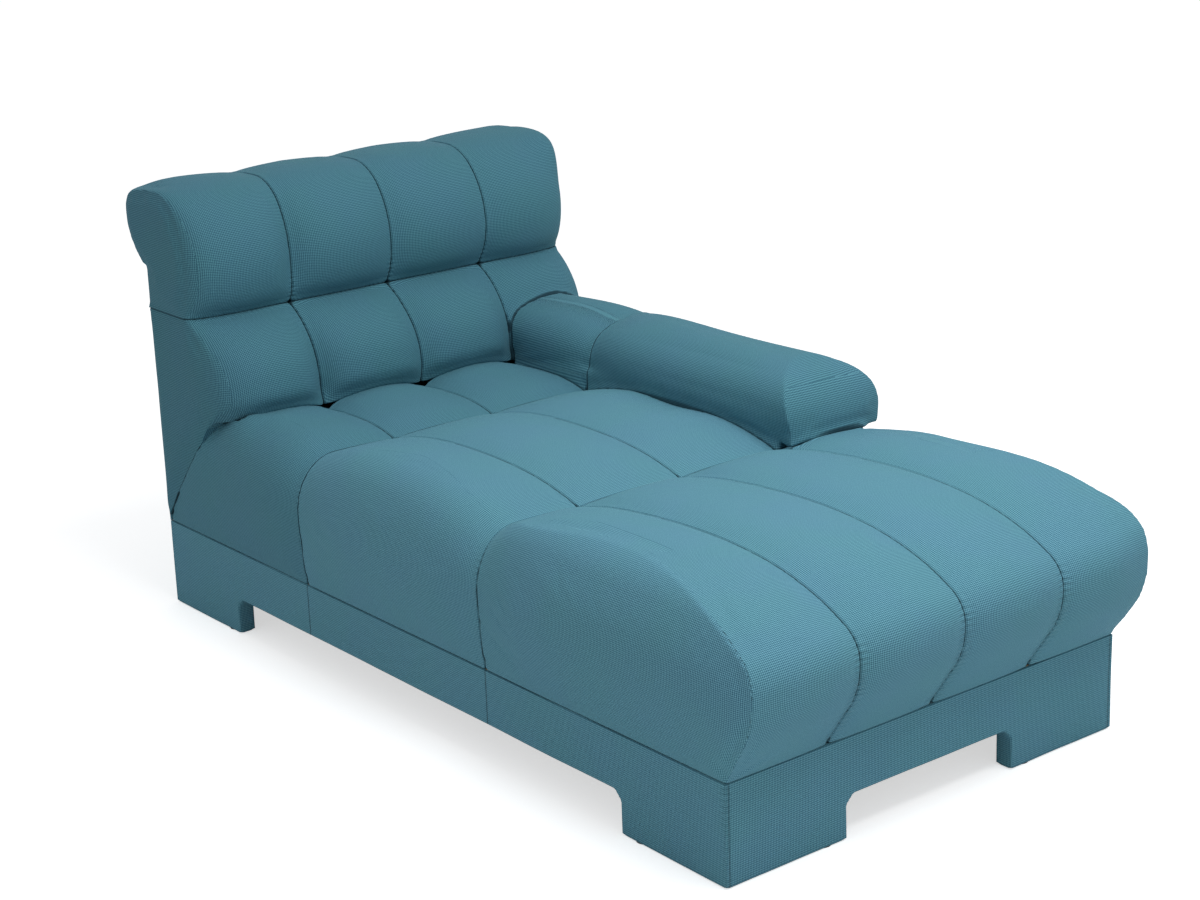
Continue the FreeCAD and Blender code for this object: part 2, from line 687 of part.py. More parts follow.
def lower_back_outline(x, share, end, pressed, grow=0.0):
    """Side view of a lower back pillow. End goes from 0 to 1 at the outer end of the back, pressed
    is 1 where the arm holds the pillow flat, and grow makes it larger to the front and below."""
    top = BACK_SEAM_HEIGHT - PILLOW_GAP / 2
    seam_depth = groove(x, LOWER_GROOVES)
    belly_y = JOINT_Y + mix(mix(seam_depth, -28, share), 0.5, pressed)
    belly_y = mix(belly_y, JOINT_Y + 49, end)
    belly_z = JOINT_HEIGHT + mix(38, 50, share)
    start_y = mix(JOINT_Y, JOINT_Y + SIDE_JOINT_RUN, end)
    start_z = joint_height(start_y)
    top_y = mix(BACK_SEAM_Y, BACK_SEAM_Y + END_SETBACK, end)
    lean = mix(mix(90 - 1.5 * seam_depth, 132, share), 95, pressed)
    outline = Outline(across(x), start_y - grow, start_z - grow, mix(lean, 128, end))
    outline.curve(belly_y - grow, belly_z, 90)
    outline.curve(top_y - grow, top + grow, mix(mix(28, 8, share), 40, end))
    outline.line(BOARD_REAR - REST_GAP, top + grow)
    outline.line(BOARD_REAR - REST_GAP, BASE_HEIGHT)
    return outline.line(start_y - grow, BASE_HEIGHT)


def upper_back_outline(x, share, end):
    """Side view of an upper back pillow, which rolls over the head and tucks in behind."""
    bottom = BACK_SEAM_HEIGHT + PILLOW_GAP / 2
    rear = BOARD_REAR - REST_GAP
    tuck = ROLL_TUCK_HEIGHT + REST_GAP
    seam_y = mix(BACK_SEAM_Y, BACK_SEAM_Y + END_SETBACK, end)
    belly_y = BACK_SEAM_Y + mix(mix(groove(x, UPPER_GROOVES), -43, share), 4, end)
    belly_z = BACK_SEAM_HEIGHT + mix(81, 87, share)
    crest_y = mix(BACK_SEAM_Y + HEAD_CREST, BACK_SEAM_Y + HEAD_CREST + 17, end)
    crest_z = mix(mix(OVERALL_HEIGHT - 7, OVERALL_HEIGHT, share), OVERALL_HEIGHT - 3, end)
    roll_y = mix(mix(TAIL_Y - 12, TAIL_Y, share), TAIL_Y - ROLL_END_SETBACK, end)
    outline = Outline(across(x), seam_y, bottom, mix(mix(125, 155, share), 115, end))
    outline.curve(belly_y, belly_z, 90).curve(crest_y, crest_z, 0).curve(roll_y, ROLL_HEIGHT, 270)
    outline.curve(BASE_REAR + 2, tuck, mix(mix(215, 205, share), 215, end))
    outline.line(rear, tuck)
    return outline.line(rear, bottom)


def back_core_line():
    """Front of the room behind the back pillows: from the joint up to the back seam."""
    return (JOINT_Y + 40, JOINT_HEIGHT - 21), (JOINT_Y + 124, BACK_SEAM_HEIGHT - 8)


def back_core(gap):
    """The room of the back frame and its foam, with the core of the rolled head on top."""
    (low_y, low_z), (high_y, high_z) = back_core_line()
    limit = FRAME_SIDE + gap
    shoulder = high_y + 2 - gap
    outline = Outline(across(-limit), low_y - gap, low_z)
    outline.line(high_y - gap, high_z).line(shoulder, POST_TOP)
    outline.turn(90).curve(shoulder + 64, ROLL_CORE_TOP + gap, 0)
    outline.line(BASE_REAR - 15, ROLL_CORE_TOP + gap)
    outline.turn(0).curve(BASE_REAR + 28 + gap, ROLL_HEIGHT - 20, 270)
    outline.curve(BOARD_REAR, ROLL_HEIGHT - 61 - gap, 200)
    outline.line(BOARD_REAR, ROLL_TUCK_HEIGHT)
    if gap:
        outline.line(FAR, ROLL_TUCK_HEIGHT).line(FAR, 0).line(JOINT_Y + 4, 0)
        outline.line(JOINT_Y + 4, JOINT_HEIGHT - 60).line(low_y - 2, low_z - 20)
    else:
        outline.line(BOARD_REAR, low_z)
    return prism(outline, Vector(2 * limit, 0, 0))


def back_stations(column):
    """Cuts across a back pillow: (x, how full, how far into the rounded outer end)."""
    left, right = column_edges(column)
    if 1 < column < COLUMNS:
        return [(x, share, 0.0) for x, share in column_stations(left, right)]
    seam_x = SIDE - COLUMN_PITCH + PILLOW_GAP / 2
    outward = [(seam_x, 0.0, 0.0), (seam_x + 32, 0.66, 0.0), (seam_x + 95, 1.0, 0.0),
               (BACK_SIDE - 50, 1.0, 0.14), (BACK_SIDE - 16, 1.0, 0.46), (BACK_SIDE, 1.0, 1.0)]
    sign = -1 if column == 1 else 1
    return [(sign * x, share, end) for x, share, end in outward]


def lower_back_form(column):
    if column == COLUMNS:
        return pressed_form(0).common(box(0, BACK_SIDE, 0, FAR, 0, FAR))
    return loft([lower_back_outline(x, share, end, 0.0) for x, share, end in back_stations(column)])


def pressed_form(grow):
    """The form of the lower pillow that the arm presses flat, drawn on past its outer end."""
    stations = back_stations(COLUMNS) + [(ARM_SIDE + 10, 1.0, 1.0)]
    return loft([lower_back_outline(x, share, end, 1.0, grow) for x, share, end in stations])


def make_back_pillows():
    core = back_core(REST_GAP)
    zone = back_zone(REST_GAP / 2)
    for column in range(1, COLUMNS + 1):
        lower = lower_back_form(column).common(zone).cut(core)
        if column == COLUMNS:
            lower = lower.cut(arm_core(REST_GAP))
        save("back_pillow_lower_%d" % column, lower)
        upper = loft([upper_back_outline(*station) for station in back_stations(column)])
        save("back_pillow_upper_%d" % column, upper.cut(core))


def post_front():
    """Where the seat rails end and the back posts begin."""
    return JOINT_Y + 74


def web_line(z, offset=0.0):
    """Y of the plane of the back webbing at height z."""
    (low_y, low_z), (high_y, high_z) = back_core_line()
    slope = (high_y - low_y) / (high_z - low_z)
    return low_y + (z - low_z) * slope + (BACK_PAD + 2 * REST_GAP + STRAP) * math.hypot(1, slope) + offset


def sloped_rail(low, high):
    inner = FRAME_SIDE - RAIL
    return side_prism(-inner, inner, [(web_line(low), low), (web_line(high), high),
                                      (web_line(high) + RAIL, high), (web_line(low) + RAIL, low)])


def bolt_places():
    """Bolts of one joining plate: one in the seat rail and one in the back post."""
    seam = post_front()
    middle = (BASE_HEIGHT + DECK_HEIGHT) / 2
    places = []
    for y in (seam - 30, seam + 30):
        places.append((y, middle))
    return places


def plate_holes(sign):
    reach = Vector(sign * (RAIL + 2 * PLATE), 0, 0)
    holes = []
    for y, z in bolt_places():
        start = Vector(sign * (FRAME_SIDE - RAIL - 2 * PLATE), y, z)
        holes.append(Part.makeCylinder(BOLT_RADIUS + REST_GAP, reach.Length, start, reach))
    return holes


def make_back_frame():
    inner = FRAME_SIDE - RAIL
    top = POST_TOP
    seam_z = BACK_SEAM_HEIGHT - 34
    shoulder = web_line(seam_z + 14)
    profile = [(post_front(), BASE_HEIGHT), (post_front(), JOINT_HEIGHT - 40), (shoulder, seam_z + 14),
               (shoulder, top), (FRAME_REAR, top), (FRAME_REAR, BASE_HEIGHT)]
    left = side_prism(-FRAME_SIDE, -inner, profile)
    right = side_prism(inner, FRAME_SIDE, profile)
    for hole in plate_holes(-1):
        left = left.cut(hole)
    for hole in plate_holes(1):
        right = right.cut(hole)
    save("back_post_left", left)
    save("back_post_right", right)
    save("back_rails", group([sloped_rail(JOINT_HEIGHT - 34, JOINT_HEIGHT + 22),
                              sloped_rail(BACK_SEAM_HEIGHT - 84, seam_z)]))
    head = box(-FRAME_SIDE, FRAME_SIDE, shoulder + 18, FRAME_REAR, top, top + 45)
    edges = [edge for edge in head.Edges if abs(edge.tangentAt(edge.FirstParameter).x) > 0.9]
    save("head_rail", head.makeFillet(10, edges))
    room = box(-FAR, FAR, shoulder + 18 - REST_GAP, FRAME_REAR + REST_GAP, top - 1, top + 45 + REST_GAP)
    room = room.fuse(box(-FAR, FAR, shoulder - REST_GAP, FRAME_REAR + REST_GAP, 0, top + REST_GAP))
    room = room.fuse(box(-FAR, FAR, 0, BOARD_REAR + 1, 0, BACK_SEAM_HEIGHT + 6))
    room = room.fuse(box(-FAR, FAR, FRAME_REAR - 1, BOARD_REAR + 1, 0, ROLL_TUCK_HEIGHT + 2))
    save("head_foam", back_core(0).cut(room))

    (low_y, low_z), (high_y, high_z) = back_core_line()
    depth = BACK_PAD
    lean = math.atan2(high_y - low_y, high_z - low_z)
    back = (depth * math.cos(lean), -depth * math.sin(lean))
    slab = [(low_y, low_z), (high_y, high_z), (high_y + back[0], high_z + back[1]),
            (low_y + back[0], low_z + back[1])]
    save("back_foam", side_prism(-FRAME_SIDE, FRAME_SIDE, slab))
    straps = []
    low, high = JOINT_HEIGHT - 30, seam_z - 4
    for x in spread(-inner, inner, 5):
        thin = -STRAP * math.hypot(1, math.tan(lean))
        band = [(web_line(low), low), (web_line(high), high),
                (web_line(high, thin), high), (web_line(low, thin), low)]
        straps.append(side_prism(x - STRAP_WIDTH / 2, x + STRAP_WIDTH / 2, band))
    save("back_webbing", group(straps))

    save("outside_back_board", box(-FRAME_SIDE, FRAME_SIDE, FRAME_REAR, BOARD_REAR, BASE_HEIGHT,
                                   ROLL_TUCK_HEIGHT - 4))
    save("outside_back_cover", box(-BASE_SIDE, BASE_SIDE, BOARD_REAR, BASE_REAR,
                                   BASE_HEIGHT + REST_GAP, ROLL_TUCK_HEIGHT))

    plates = []
    bolts = []
    for sign in (-1, 1):
        face = sign * inner
        plate = box(min(face, face - sign * PLATE), max(face, face - sign * PLATE),
                    post_front() - 60, post_front() + 60, BASE_HEIGHT + 25, DECK_HEIGHT - 25)
        for hole in plate_holes(sign):
            plate = plate.cut(hole)
        plates.append(plate)
        outward = Vector(sign, 0, 0)
        for y, z in bolt_places():
            seat = Vector(face - sign * PLATE, y, z)
            shank = Part.makeCylinder(BOLT_RADIUS, RAIL + PLATE - 2, seat, outward)
            cap = Part.makeCylinder(BOLT_HEAD_RADIUS, BOLT_HEAD, seat, outward * -1)
            bolts.append(shank.fuse(cap))
    save("joining_plates", group(plates))
    save("joining_bolts", group(bolts))


# Arm

def arm_outline(y, share, drop=0.0):
    """Front view of the arm, from its sewn seam (share 0) to its full form (share 1), its top
    lowered by drop."""
    inner = ARM_LINE + mix(11, -4, share)
    crown_x = ARM_LINE + mix(130, 110, share)
    crown_z = mix(ARM_SEAM_HEIGHT, ARM_CROWN, share) - drop
    outer = ARM_SIDE - mix(5, 0, share)
    start = ARM_LINE + 1
    outline = Outline(along(y), start, PAD_BOTTOM)
    bottom = BASE_HEIGHT + REST_GAP
    outline.line(start, SEAM_HEIGHT + ARM_FOOT_RISE)
    outline.turn(mix(70, 100, share)).curve(inner, ARM_CORNER_HEIGHT + mix(24, 38, share), 90)
    outline.curve(crown_x, crown_z, 0).curve(outer, ARM_CORNER_HEIGHT, 270)
    outline.curve(BASE_SIDE + 0.5, bottom, 268)
    return outline.line(start, bottom)


def arm_front():
    return FRONT_SEAM - ARM_NOSE


def arm_nose():
    """The bullnosed front end of the arm, drawn across it."""
    outlines = []
    middle = ARM_LINE + COLUMN_PITCH / 2
    behind_seam = FRONT_SEAM + PILLOW_GAP / 2
    for x, back in ((ARM_LINE - 30, 9), (middle, 0), (SIDE + 30, 7)):
        face = arm_front() + back
        outline = Outline(across(x), face, ARM_REST_HEIGHT)
        outline.line(face, ARM_REST_HEIGHT + 32)
        outline.turn(90).curve(face + 150, ARM_CROWN + 25, 18)
        outline.line(FAR, ARM_CROWN + 25).line(FAR, BASE_HEIGHT).line(behind_seam, BASE_HEIGHT)
        outlines.append(outline.line(behind_seam, ARM_REST_HEIGHT))
    return loft(outlines)


def arm_seat_notch():
    """Where the nose of the arm presses into the front pillow beneath it."""
    return box(ARM_LINE - 6, FAR, arm_front() - PILLOW_GAP, FAR, ARM_REST_HEIGHT - PILLOW_GAP, FAR)


def arm_core(gap):
    """The room of the arm frame and its foam."""
    left = ARM_LINE + ARM_CORE_INSET - gap
    right = FRAME_SIDE + gap
    top = ARM_CROWN - 66 + gap
    front = FRONT_SEAM + 22 - gap
    rear = JOINT_Y - 1 + gap
    points = [(left, DECK_HEIGHT if not gap else 0), (left, top - 20), (left + 20, top), (right - 20, top),
              (right, top - 20), (right, DECK_HEIGHT if not gap else 0)]
    return front_prism(front, rear, points)


def make_arm():
    front_end = arm_front() - 20
    seam = REAR_SEAM
    sections = ((front_end, 0.96), (FRONT_SEAM + 150, 1.0), (seam - 190, 0.97), (seam - 60, 0.68),
                (seam - PILLOW_GAP / 2, 0.0))
    front = loft([arm_outline(y, share) for y, share in sections]).common(arm_nose())
    rear_start = seam + PILLOW_GAP / 2
    rear_end = BOARD_REAR - REST_GAP
    sections = ((rear_start, 0.0, 0), (rear_start + 55, 0.66, 0), (mix(rear_start, JOINT_Y, 0.55), 1.0, 3),
                (JOINT_Y + 40, 0.8, 14), (rear_end, 0.3, 30))
    rear = loft([arm_outline(*section) for section in sections])
    _, _, (corner_y, corner_z), (end_y, end_z) = joint_line()
    top_y = corner_y - 45
    end_z -= REST_GAP
    allowed = [(rear_start - 1, 0), (rear_start - 1, FAR), (top_y, FAR), (top_y, corner_z + 190),
               (corner_y, corner_z - REST_GAP), (end_y, end_z), (FAR, end_z), (FAR, 0)]
    rear = rear.common(side_prism(-FAR, FAR, allowed))
    rear = rear.cut(pressed_form(PILLOW_GAP).common(back_zone(REST_GAP / 2 - PILLOW_GAP)))
    rear = rear.cut(box(-FAR, ARM_LINE + PILLOW_GAP / 2, JOINT_Y - 2, FAR, 0, FAR))
    rear = rear.cut(inside_back_core_below_joint())
    core = arm_core(REST_GAP)
    for name, form in (("front", front), ("rear", rear)):
        save("arm_pillow_" + name, form.cut(seat_core()).cut(core))

    solid = arm_core(0)
    room = solid.BoundBox
    board_top = room.ZMax - ARM_PAD - BOARD
    save("arm_board_inner", box(room.XMin, room.XMin + BOARD, room.YMin, room.YMax, DECK_HEIGHT, board_top))
    save("arm_board_outer", box(room.XMax - BOARD, room.XMax, room.YMin, room.YMax, DECK_HEIGHT, board_top))
    posts = []
    for y in (room.YMin, room.YMax - RAIL):
        posts.append(box(room.XMin + BOARD, room.XMax - BOARD, y, y + RAIL, DECK_HEIGHT, board_top))
    save("arm_posts", group(posts))
    save("arm_top_board", box(room.XMin, room.XMax, room.YMin, room.YMax, board_top, board_top + BOARD))
    save("arm_foam", solid.cut(box(-FAR, FAR, -FAR, FAR, 0, board_top + BOARD)))


def inside_back_core_below_joint():
    """Keeps the arm pillow out of the back frame's room under the joint."""
    limit = FRAME_SIDE + REST_GAP
    return box(-limit, limit, JOINT_Y + 1, FAR, 0, JOINT_HEIGHT)


def main():
    os.makedirs("parts", exist_ok=True)
    make_plinth()
    make_seat_frame()
    make_webbing()
    make_seat_pillows()
    make_back_frame()
    make_back_pillows()
    make_arm()


main()
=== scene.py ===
import json
import math

import bmesh
import bpy
import numpy as np
from mathutils import Matrix, Vector, noise
from mathutils.bvhtree import BVHTree


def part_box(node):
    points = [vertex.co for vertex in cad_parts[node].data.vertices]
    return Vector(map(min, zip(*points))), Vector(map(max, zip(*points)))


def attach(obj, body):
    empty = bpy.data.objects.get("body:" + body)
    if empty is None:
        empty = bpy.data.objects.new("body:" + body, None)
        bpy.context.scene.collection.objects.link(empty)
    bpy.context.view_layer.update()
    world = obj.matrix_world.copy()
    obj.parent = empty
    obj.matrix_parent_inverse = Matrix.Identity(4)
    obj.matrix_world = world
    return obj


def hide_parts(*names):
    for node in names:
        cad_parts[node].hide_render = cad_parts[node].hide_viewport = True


# Metres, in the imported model's own frame: the foot end is at -Y, the backrest at +Y, the arm at +X.

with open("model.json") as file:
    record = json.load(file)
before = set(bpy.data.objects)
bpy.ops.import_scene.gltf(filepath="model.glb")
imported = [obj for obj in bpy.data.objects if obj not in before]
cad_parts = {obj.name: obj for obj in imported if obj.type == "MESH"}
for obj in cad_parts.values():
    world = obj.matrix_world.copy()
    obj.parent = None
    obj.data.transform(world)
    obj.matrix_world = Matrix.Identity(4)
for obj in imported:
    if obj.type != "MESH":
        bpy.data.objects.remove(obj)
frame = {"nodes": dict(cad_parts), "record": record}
bpy.context.view_layer.update()

MM = 0.001

# Pillows
VOXEL = 6 * MM              # grid of the first mesh of a pillow
EASE = 3 * MM               # a pillow is drawn in by this before it is blown up
SWELL = 4 * MM              # and may stand this far proud of its CAD form afterwards
CLEARANCE = 0.1 * MM        # kept to a neighbour
SHARE = 0.45                # part of the space between two pieces that one may fill
PRESSURE = 4.0
SWELL_FRAMES = 16
HELD = 0.25                 # cloth with less than this share of its room stays where it is
LOOK_ROUND = 60 * MM        # how far off the pieces around a pillow are looked for
SAME_WAY = 0.2              # two surfaces look the same way if the product of their normals is more
CLOSE = 9 * MM              # the edges of pillows nearer than this are drawn together
PULL = 0.8                  # by this share of the way

# Joint of seat and back: where its bulge begins and where it is full
ARCH = 13 * MM              # how far each column bulges up
ARCH_FORWARDS = 0.8         # and the back forwards, by this share of it
ARCH_SEAT_ALONG = (0.40, 0.52)
ARCH_SEAT_UP = (0.30, 0.36)
ARCH_BACK_ALONG = (0.62, 0.56)
ARCH_BACK_DOWN = (0.54, 0.39)
ARCH_BACK_HEIGHT = 0.415    # where the back bulges forwards most
ARCH_BACK_SPREAD = 0.03

# Where folds fade out, each from full to nothing or the other way
SIDE_TURN = (0.33, 0.36)            # the outer columns turn over the side
SIDE_FACE = (0.395, 0.412)          # the side of the seat
BASE_FACE = (0.39, 0.40)            # the side of the base
FRONT_TURN = (-0.76, -0.72)         # the front row turns over the foot end
CORNER_TURN = (-0.785, -0.735)      # the same at the mitred crease
GATHER_HEIGHT = (0.26, 0.37)        # above the floor
BACK_FOLDS = (0.01, 0.09)           # from the seam that crosses the back

# Base
WALL = 30 * MM
FOOT = 230 * MM
APRON = 70 * MM
APRON_RADIUS = 25 * MM
BASE_VOXEL = 5 * MM
BASE_GAP = 0.4 * MM         # under the cloth, to the floor
BASE_WAVE = 0.7 * MM        # how uneven the padded cloth is
BASE_WAVES = 9.0            # in a metre
BASE_EDGE = 14 * MM         # the lowest part of the cloth is pulled down
BASE_SINK = 3.5 * MM        # by this, to a straight edge
SEAM_LINE = (0.4 * MM, 1.8 * MM)    # half the width of a sunk seam, and where it ends
CORNER_SEAM_IN = (3.5 * MM, 5.5 * MM)   # from the base's side: where its corner seam begins
CORNER_SEAM_OUT = (6.5 * MM, 8.5 * MM)  # and ends
CORNER_SEAM_DEEP = (1.0 * MM, 2.0 * MM) # from the base's end

# Cloth
WEAVE = 4.4 * MM            # height of one diamond of the weave
WEAVE_ANGLE = 42.0
PUCKER_STEP = 9 * MM        # folds beside a sewn seam
FOLD_WANDER = 6.0           # how far the folds stray from an even spacing
CREASE_RUN = 0.5            # change of direction over which a mitred crease fades
CREASE_LINE = (0.86, 0.96)  # where the mark of a crease becomes its sunk line, painted dark as shade
SHADE_PAINTED_BY_SEAMS = (0.52, 0.96)    # where the mark of a sewn edge becomes a line of painted shade
EVEN_OUT = 12               # passes that even out the line of a crease
SHADE_PAINTED_SEAT_REAR = 0.80        # painted shade: brightness of the cloth on pieces that are painted darker, as if they stood in shade
SHADE_PAINTED_BACK = 0.70
SHADE_PAINTED_ARM = 0.80
SHADE_PAINTED_OUTSIDE = 0.76

# Maps of the weave
ROLL_STEPS = 721            # rays that measure the cloth round a form
ROLL_RADIUS = 0.12          # of the forms that the cloth rolls round
FRONT_IN = 0.15             # from the foot end to the middle of the roll over it
SIDE_IN = 0.02              # from the crown of an outer column to the middle of its roll
SIDE_ALONG = 0.1            # from the near end of a pillow to the plane of its roll
FLAT_SIDE = 0.75            # the back's cloth that looks this far sideways is its flat side
NOSE = 0.7                  # the arm's cloth that looks this far to the foot end is its nose
NOSE_DEPTH = 0.05
NOSE_STEP = 0.03

# Light
LAMP_PLACE = (0.1, -1.15, 2.5)
LAMP_AIM = (0, -0.3, 0.3)
LAMP_SIZE = 1.6
LAMP_POWER = 44             # watts
SKY = 0.5                   # strength of the even light from all round
FLOOR_SHARE = 0.05          # of the floor's look that is plain white
FLOOR_WHITE = 12.0

# Camera, solved from the photograph
CAMERA_PLACE = Vector((-2.3765, -3.0388, 1.5803))
CAMERA_HEADING = -38.037
CAMERA_TILT = 17.273
CAMERA_ROLL = -2.002
CAMERA_LENS = 72.05

PLINTH_COVERS = ["plinth_cover_" + side for side in ("left", "right", "front", "rear")]
base_low = Vector(map(min, *(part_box(cover)[0] for cover in PLINTH_COVERS)))
base_high = Vector(map(max, *(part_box(cover)[1] for cover in PLINTH_COVERS)))
row_seams = (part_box("seat_pillow_middle_2")[0].y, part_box("seat_pillow_rear_2")[0].y)
column_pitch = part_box("seat_pillow_front_2")[1].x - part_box("seat_pillow_front_2")[0].x
outer_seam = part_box("seat_pillow_front_3")[1].x
column_width = 0.5 * (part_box("seat_pillow_front_3")[1].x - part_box("seat_pillow_front_2")[0].x)
back_seam_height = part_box("back_pillow_lower_2")[1].z


# Working on meshes

def deselect():
    if bpy.context.object and bpy.context.object.mode != "OBJECT":
        bpy.ops.object.mode_set(mode="OBJECT")
    bpy.ops.object.select_all(action="DESELECT")


def choose(piece):
    deselect()
    bpy.context.view_layer.objects.active = piece
    piece.select_set(True)


def finish_modifiers(piece):
    choose(piece)
    for modifier in list(piece.modifiers):
        bpy.ops.object.modifier_apply(modifier=modifier.name)


def modify(piece, kind, **settings):
    modifier = piece.modifiers.new(kind.lower(), kind)
    for name, value in settings.items():
        setattr(modifier, name, value)
    return modifier


def points_of(mesh):
    flat = np.empty(len(mesh.vertices) * 3)
    mesh.vertices.foreach_get("co", flat)
    return flat.reshape(-1, 3)


def set_points(mesh, points):
    mesh.vertices.foreach_set("co", np.asarray(points).ravel())
    mesh.update()


def normals_of(mesh):
    flat = np.empty(len(mesh.vertices) * 3)
    mesh.vertex_normals.foreach_get("vector", flat)
    return flat.reshape(-1, 3)


def edges_of(mesh):
    ends = np.empty(len(mesh.edges) * 2, dtype=int)
    mesh.edges.foreach_get("vertices", ends)
    return ends.reshape(-1, 2)


def corners_of(mesh):
    """The vertex of every face corner."""
    corners = np.empty(len(mesh.loops), dtype=int)
    mesh.loops.foreach_get("vertex_index", corners)
    return corners


def write_share(mesh, name, values):
    """Keeps a number from 0 to 1 at every vertex, for a material."""
    mesh.attributes.new(name, "FLOAT", "POINT").data.foreach_set("value", values)


def copy_of(node, name):
    """A new piece with a CAD node's form, its triangles joined up."""
    mesh = frame["nodes"][node].data.copy()
    work = bmesh.new()
    work.from_mesh(mesh)
    bmesh.ops.remove_doubles(work, verts=work.verts, dist=0.01 * MM)
    work.to_mesh(mesh)
    work.free()
    mesh.materials.clear()
    piece = bpy.data.objects.new(name, mesh)
    bpy.context.scene.collection.objects.link(piece)
    return piece


def surface_tree(nodes):
    points = []
    faces = []
    for node in nodes:
        mesh = frame["nodes"][node].data
        start = len(points)
        points += [vertex.co.copy() for vertex in mesh.vertices]
        faces += [[start + index for index in face.vertices] for face in mesh.polygons]
    return BVHTree.FromPolygons(points, faces)


def neighbours(node):
    reach = 40 * MM
    low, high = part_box(node)
    found = []
    for other in frame["nodes"]:
        other_low, other_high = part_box(other)
        apart = any(other_low[k] > high[k] + reach or other_high[k] < low[k] - reach for k in range(3))
        if other != node and not apart:
            found.append(other)
    return found


# Shader maths

class Signal:
    """A shader socket. Arithmetic on it adds Math nodes."""

    def __init__(self, paint, socket):
        self.paint = paint
        self.socket = socket

    def math(self, operation, *values):
        return self.paint.node("ShaderNodeMath", {"operation": operation}, dict(enumerate((self,) + values)))

    def __add__(self, other):
        return self.math("ADD", other)

    def __sub__(self, other):
        return self.math("SUBTRACT", other)

    def __mul__(self, other):
        return self.math("MULTIPLY", other)

    def __rsub__(self, other):
        return self.paint.node("ShaderNodeMath", {"operation": "SUBTRACT"}, {0: other, 1: self})

    __radd__ = __add__
    __rmul__ = __mul__

    def sin(self):
        return self.math("SINE")

    def size(self):
        return self.math("ABSOLUTE")

    def part(self):
        return self.math("FRACT")

    def between(self, low, high):
        return self.paint.node("ShaderNodeMapRange", {"interpolation_type": "SMOOTHSTEP"},
                               {"Value": self, "From Min": low, "From Max": high}, "Result")


class Paint:
    """One material, built from nodes."""

    def __init__(self, name):
        self.material = bpy.data.materials.new(name)
        self.material.use_nodes = True
        self.tree = self.material.node_tree
        self.shader = self.tree.nodes["Principled BSDF"]

    def node(self, kind, settings, sockets, output=0):
        made = self.tree.nodes.new(kind)
        for name, value in settings.items():
            setattr(made, name, value)
        for name, value in sockets.items():
            self.plug(made.inputs[name], value)
        return Signal(self, made.outputs[output])

    def plug(self, socket, value):
        if isinstance(value, Signal):
            self.tree.links.new(value.socket, socket)
        else:
            socket.default_value = value

    def set(self, name, value):
        self.plug(self.shader.inputs[name], value)

    def place(self):
        """Object coordinates as three signals."""
        point = self.node("ShaderNodeTexCoord", {}, {}, "Object")
        return self.split(point)

    def weave_place(self):
        """Position on the cloth, in metres, from the piece's own map."""
        return self.split(self.node("ShaderNodeUVMap", {"uv_map": "weave"}, {}))[:2]

    def share_at(self, name):
        """A number that the mesh keeps at its vertices."""
        return self.node("ShaderNodeAttribute", {"attribute_name": name}, {}, "Fac")

    def split(self, vector):
        parts = self.tree.nodes.new("ShaderNodeSeparateXYZ")
        self.tree.links.new(vector.socket, parts.inputs[0])
        return [Signal(self, output) for output in parts.outputs]

    def vector(self, x, y, z=0.0):
        return self.node("ShaderNodeCombineXYZ", {}, {0: x, 1: y, 2: z})

    def noise(self, vector, scale, detail=2.0, roughness=0.5):
        return self.node("ShaderNodeTexNoise", {}, {"Vector": vector, "Scale": scale, "Detail": detail,
                                                    "Roughness": roughness}, "Fac")

    def blend(self, share, low, high):
        """A colour between two colours."""
        return self.node("ShaderNodeMix", {"data_type": "RGBA"}, {"Factor": share, 6: low, 7: high}, 2)

    def bump(self, height, distance, strength=1.0):
        self.set("Normal", self.node("ShaderNodeBump", {}, {"Height": height, "Distance": distance,
                                                            "Strength": strength}))


# Materials

def colour(red, green, blue):
    """A colour written as it looks on screen, 0 to 255."""
    linear = []
    for value in (red, green, blue):
        share = value / 255
        linear.append(share / 12.92 if share < 0.04045 else ((share + 0.055) / 1.055) ** 2.4)
    return (*linear, 1.0)


def shaded_by_paint(shade, painted_shade_factor):
    """A colour of the cloth painted darker as shade, red more than green and blue."""
    red, green, blue, _ = shade
    return red * painted_shade_factor ** 1.3, green * painted_shade_factor, blue * painted_shade_factor, 1.0


THREAD_LIGHT = colour(124, 182, 197)
THREAD_DARK = colour(36, 83, 104)
CLOTH_WARM = colour(74, 132, 143)
CLOTH_COOL = colour(78, 126, 152)
CLOTH_SHEEN = colour(150, 190, 200)
SEAM_SHADE = colour(20, 44, 54)


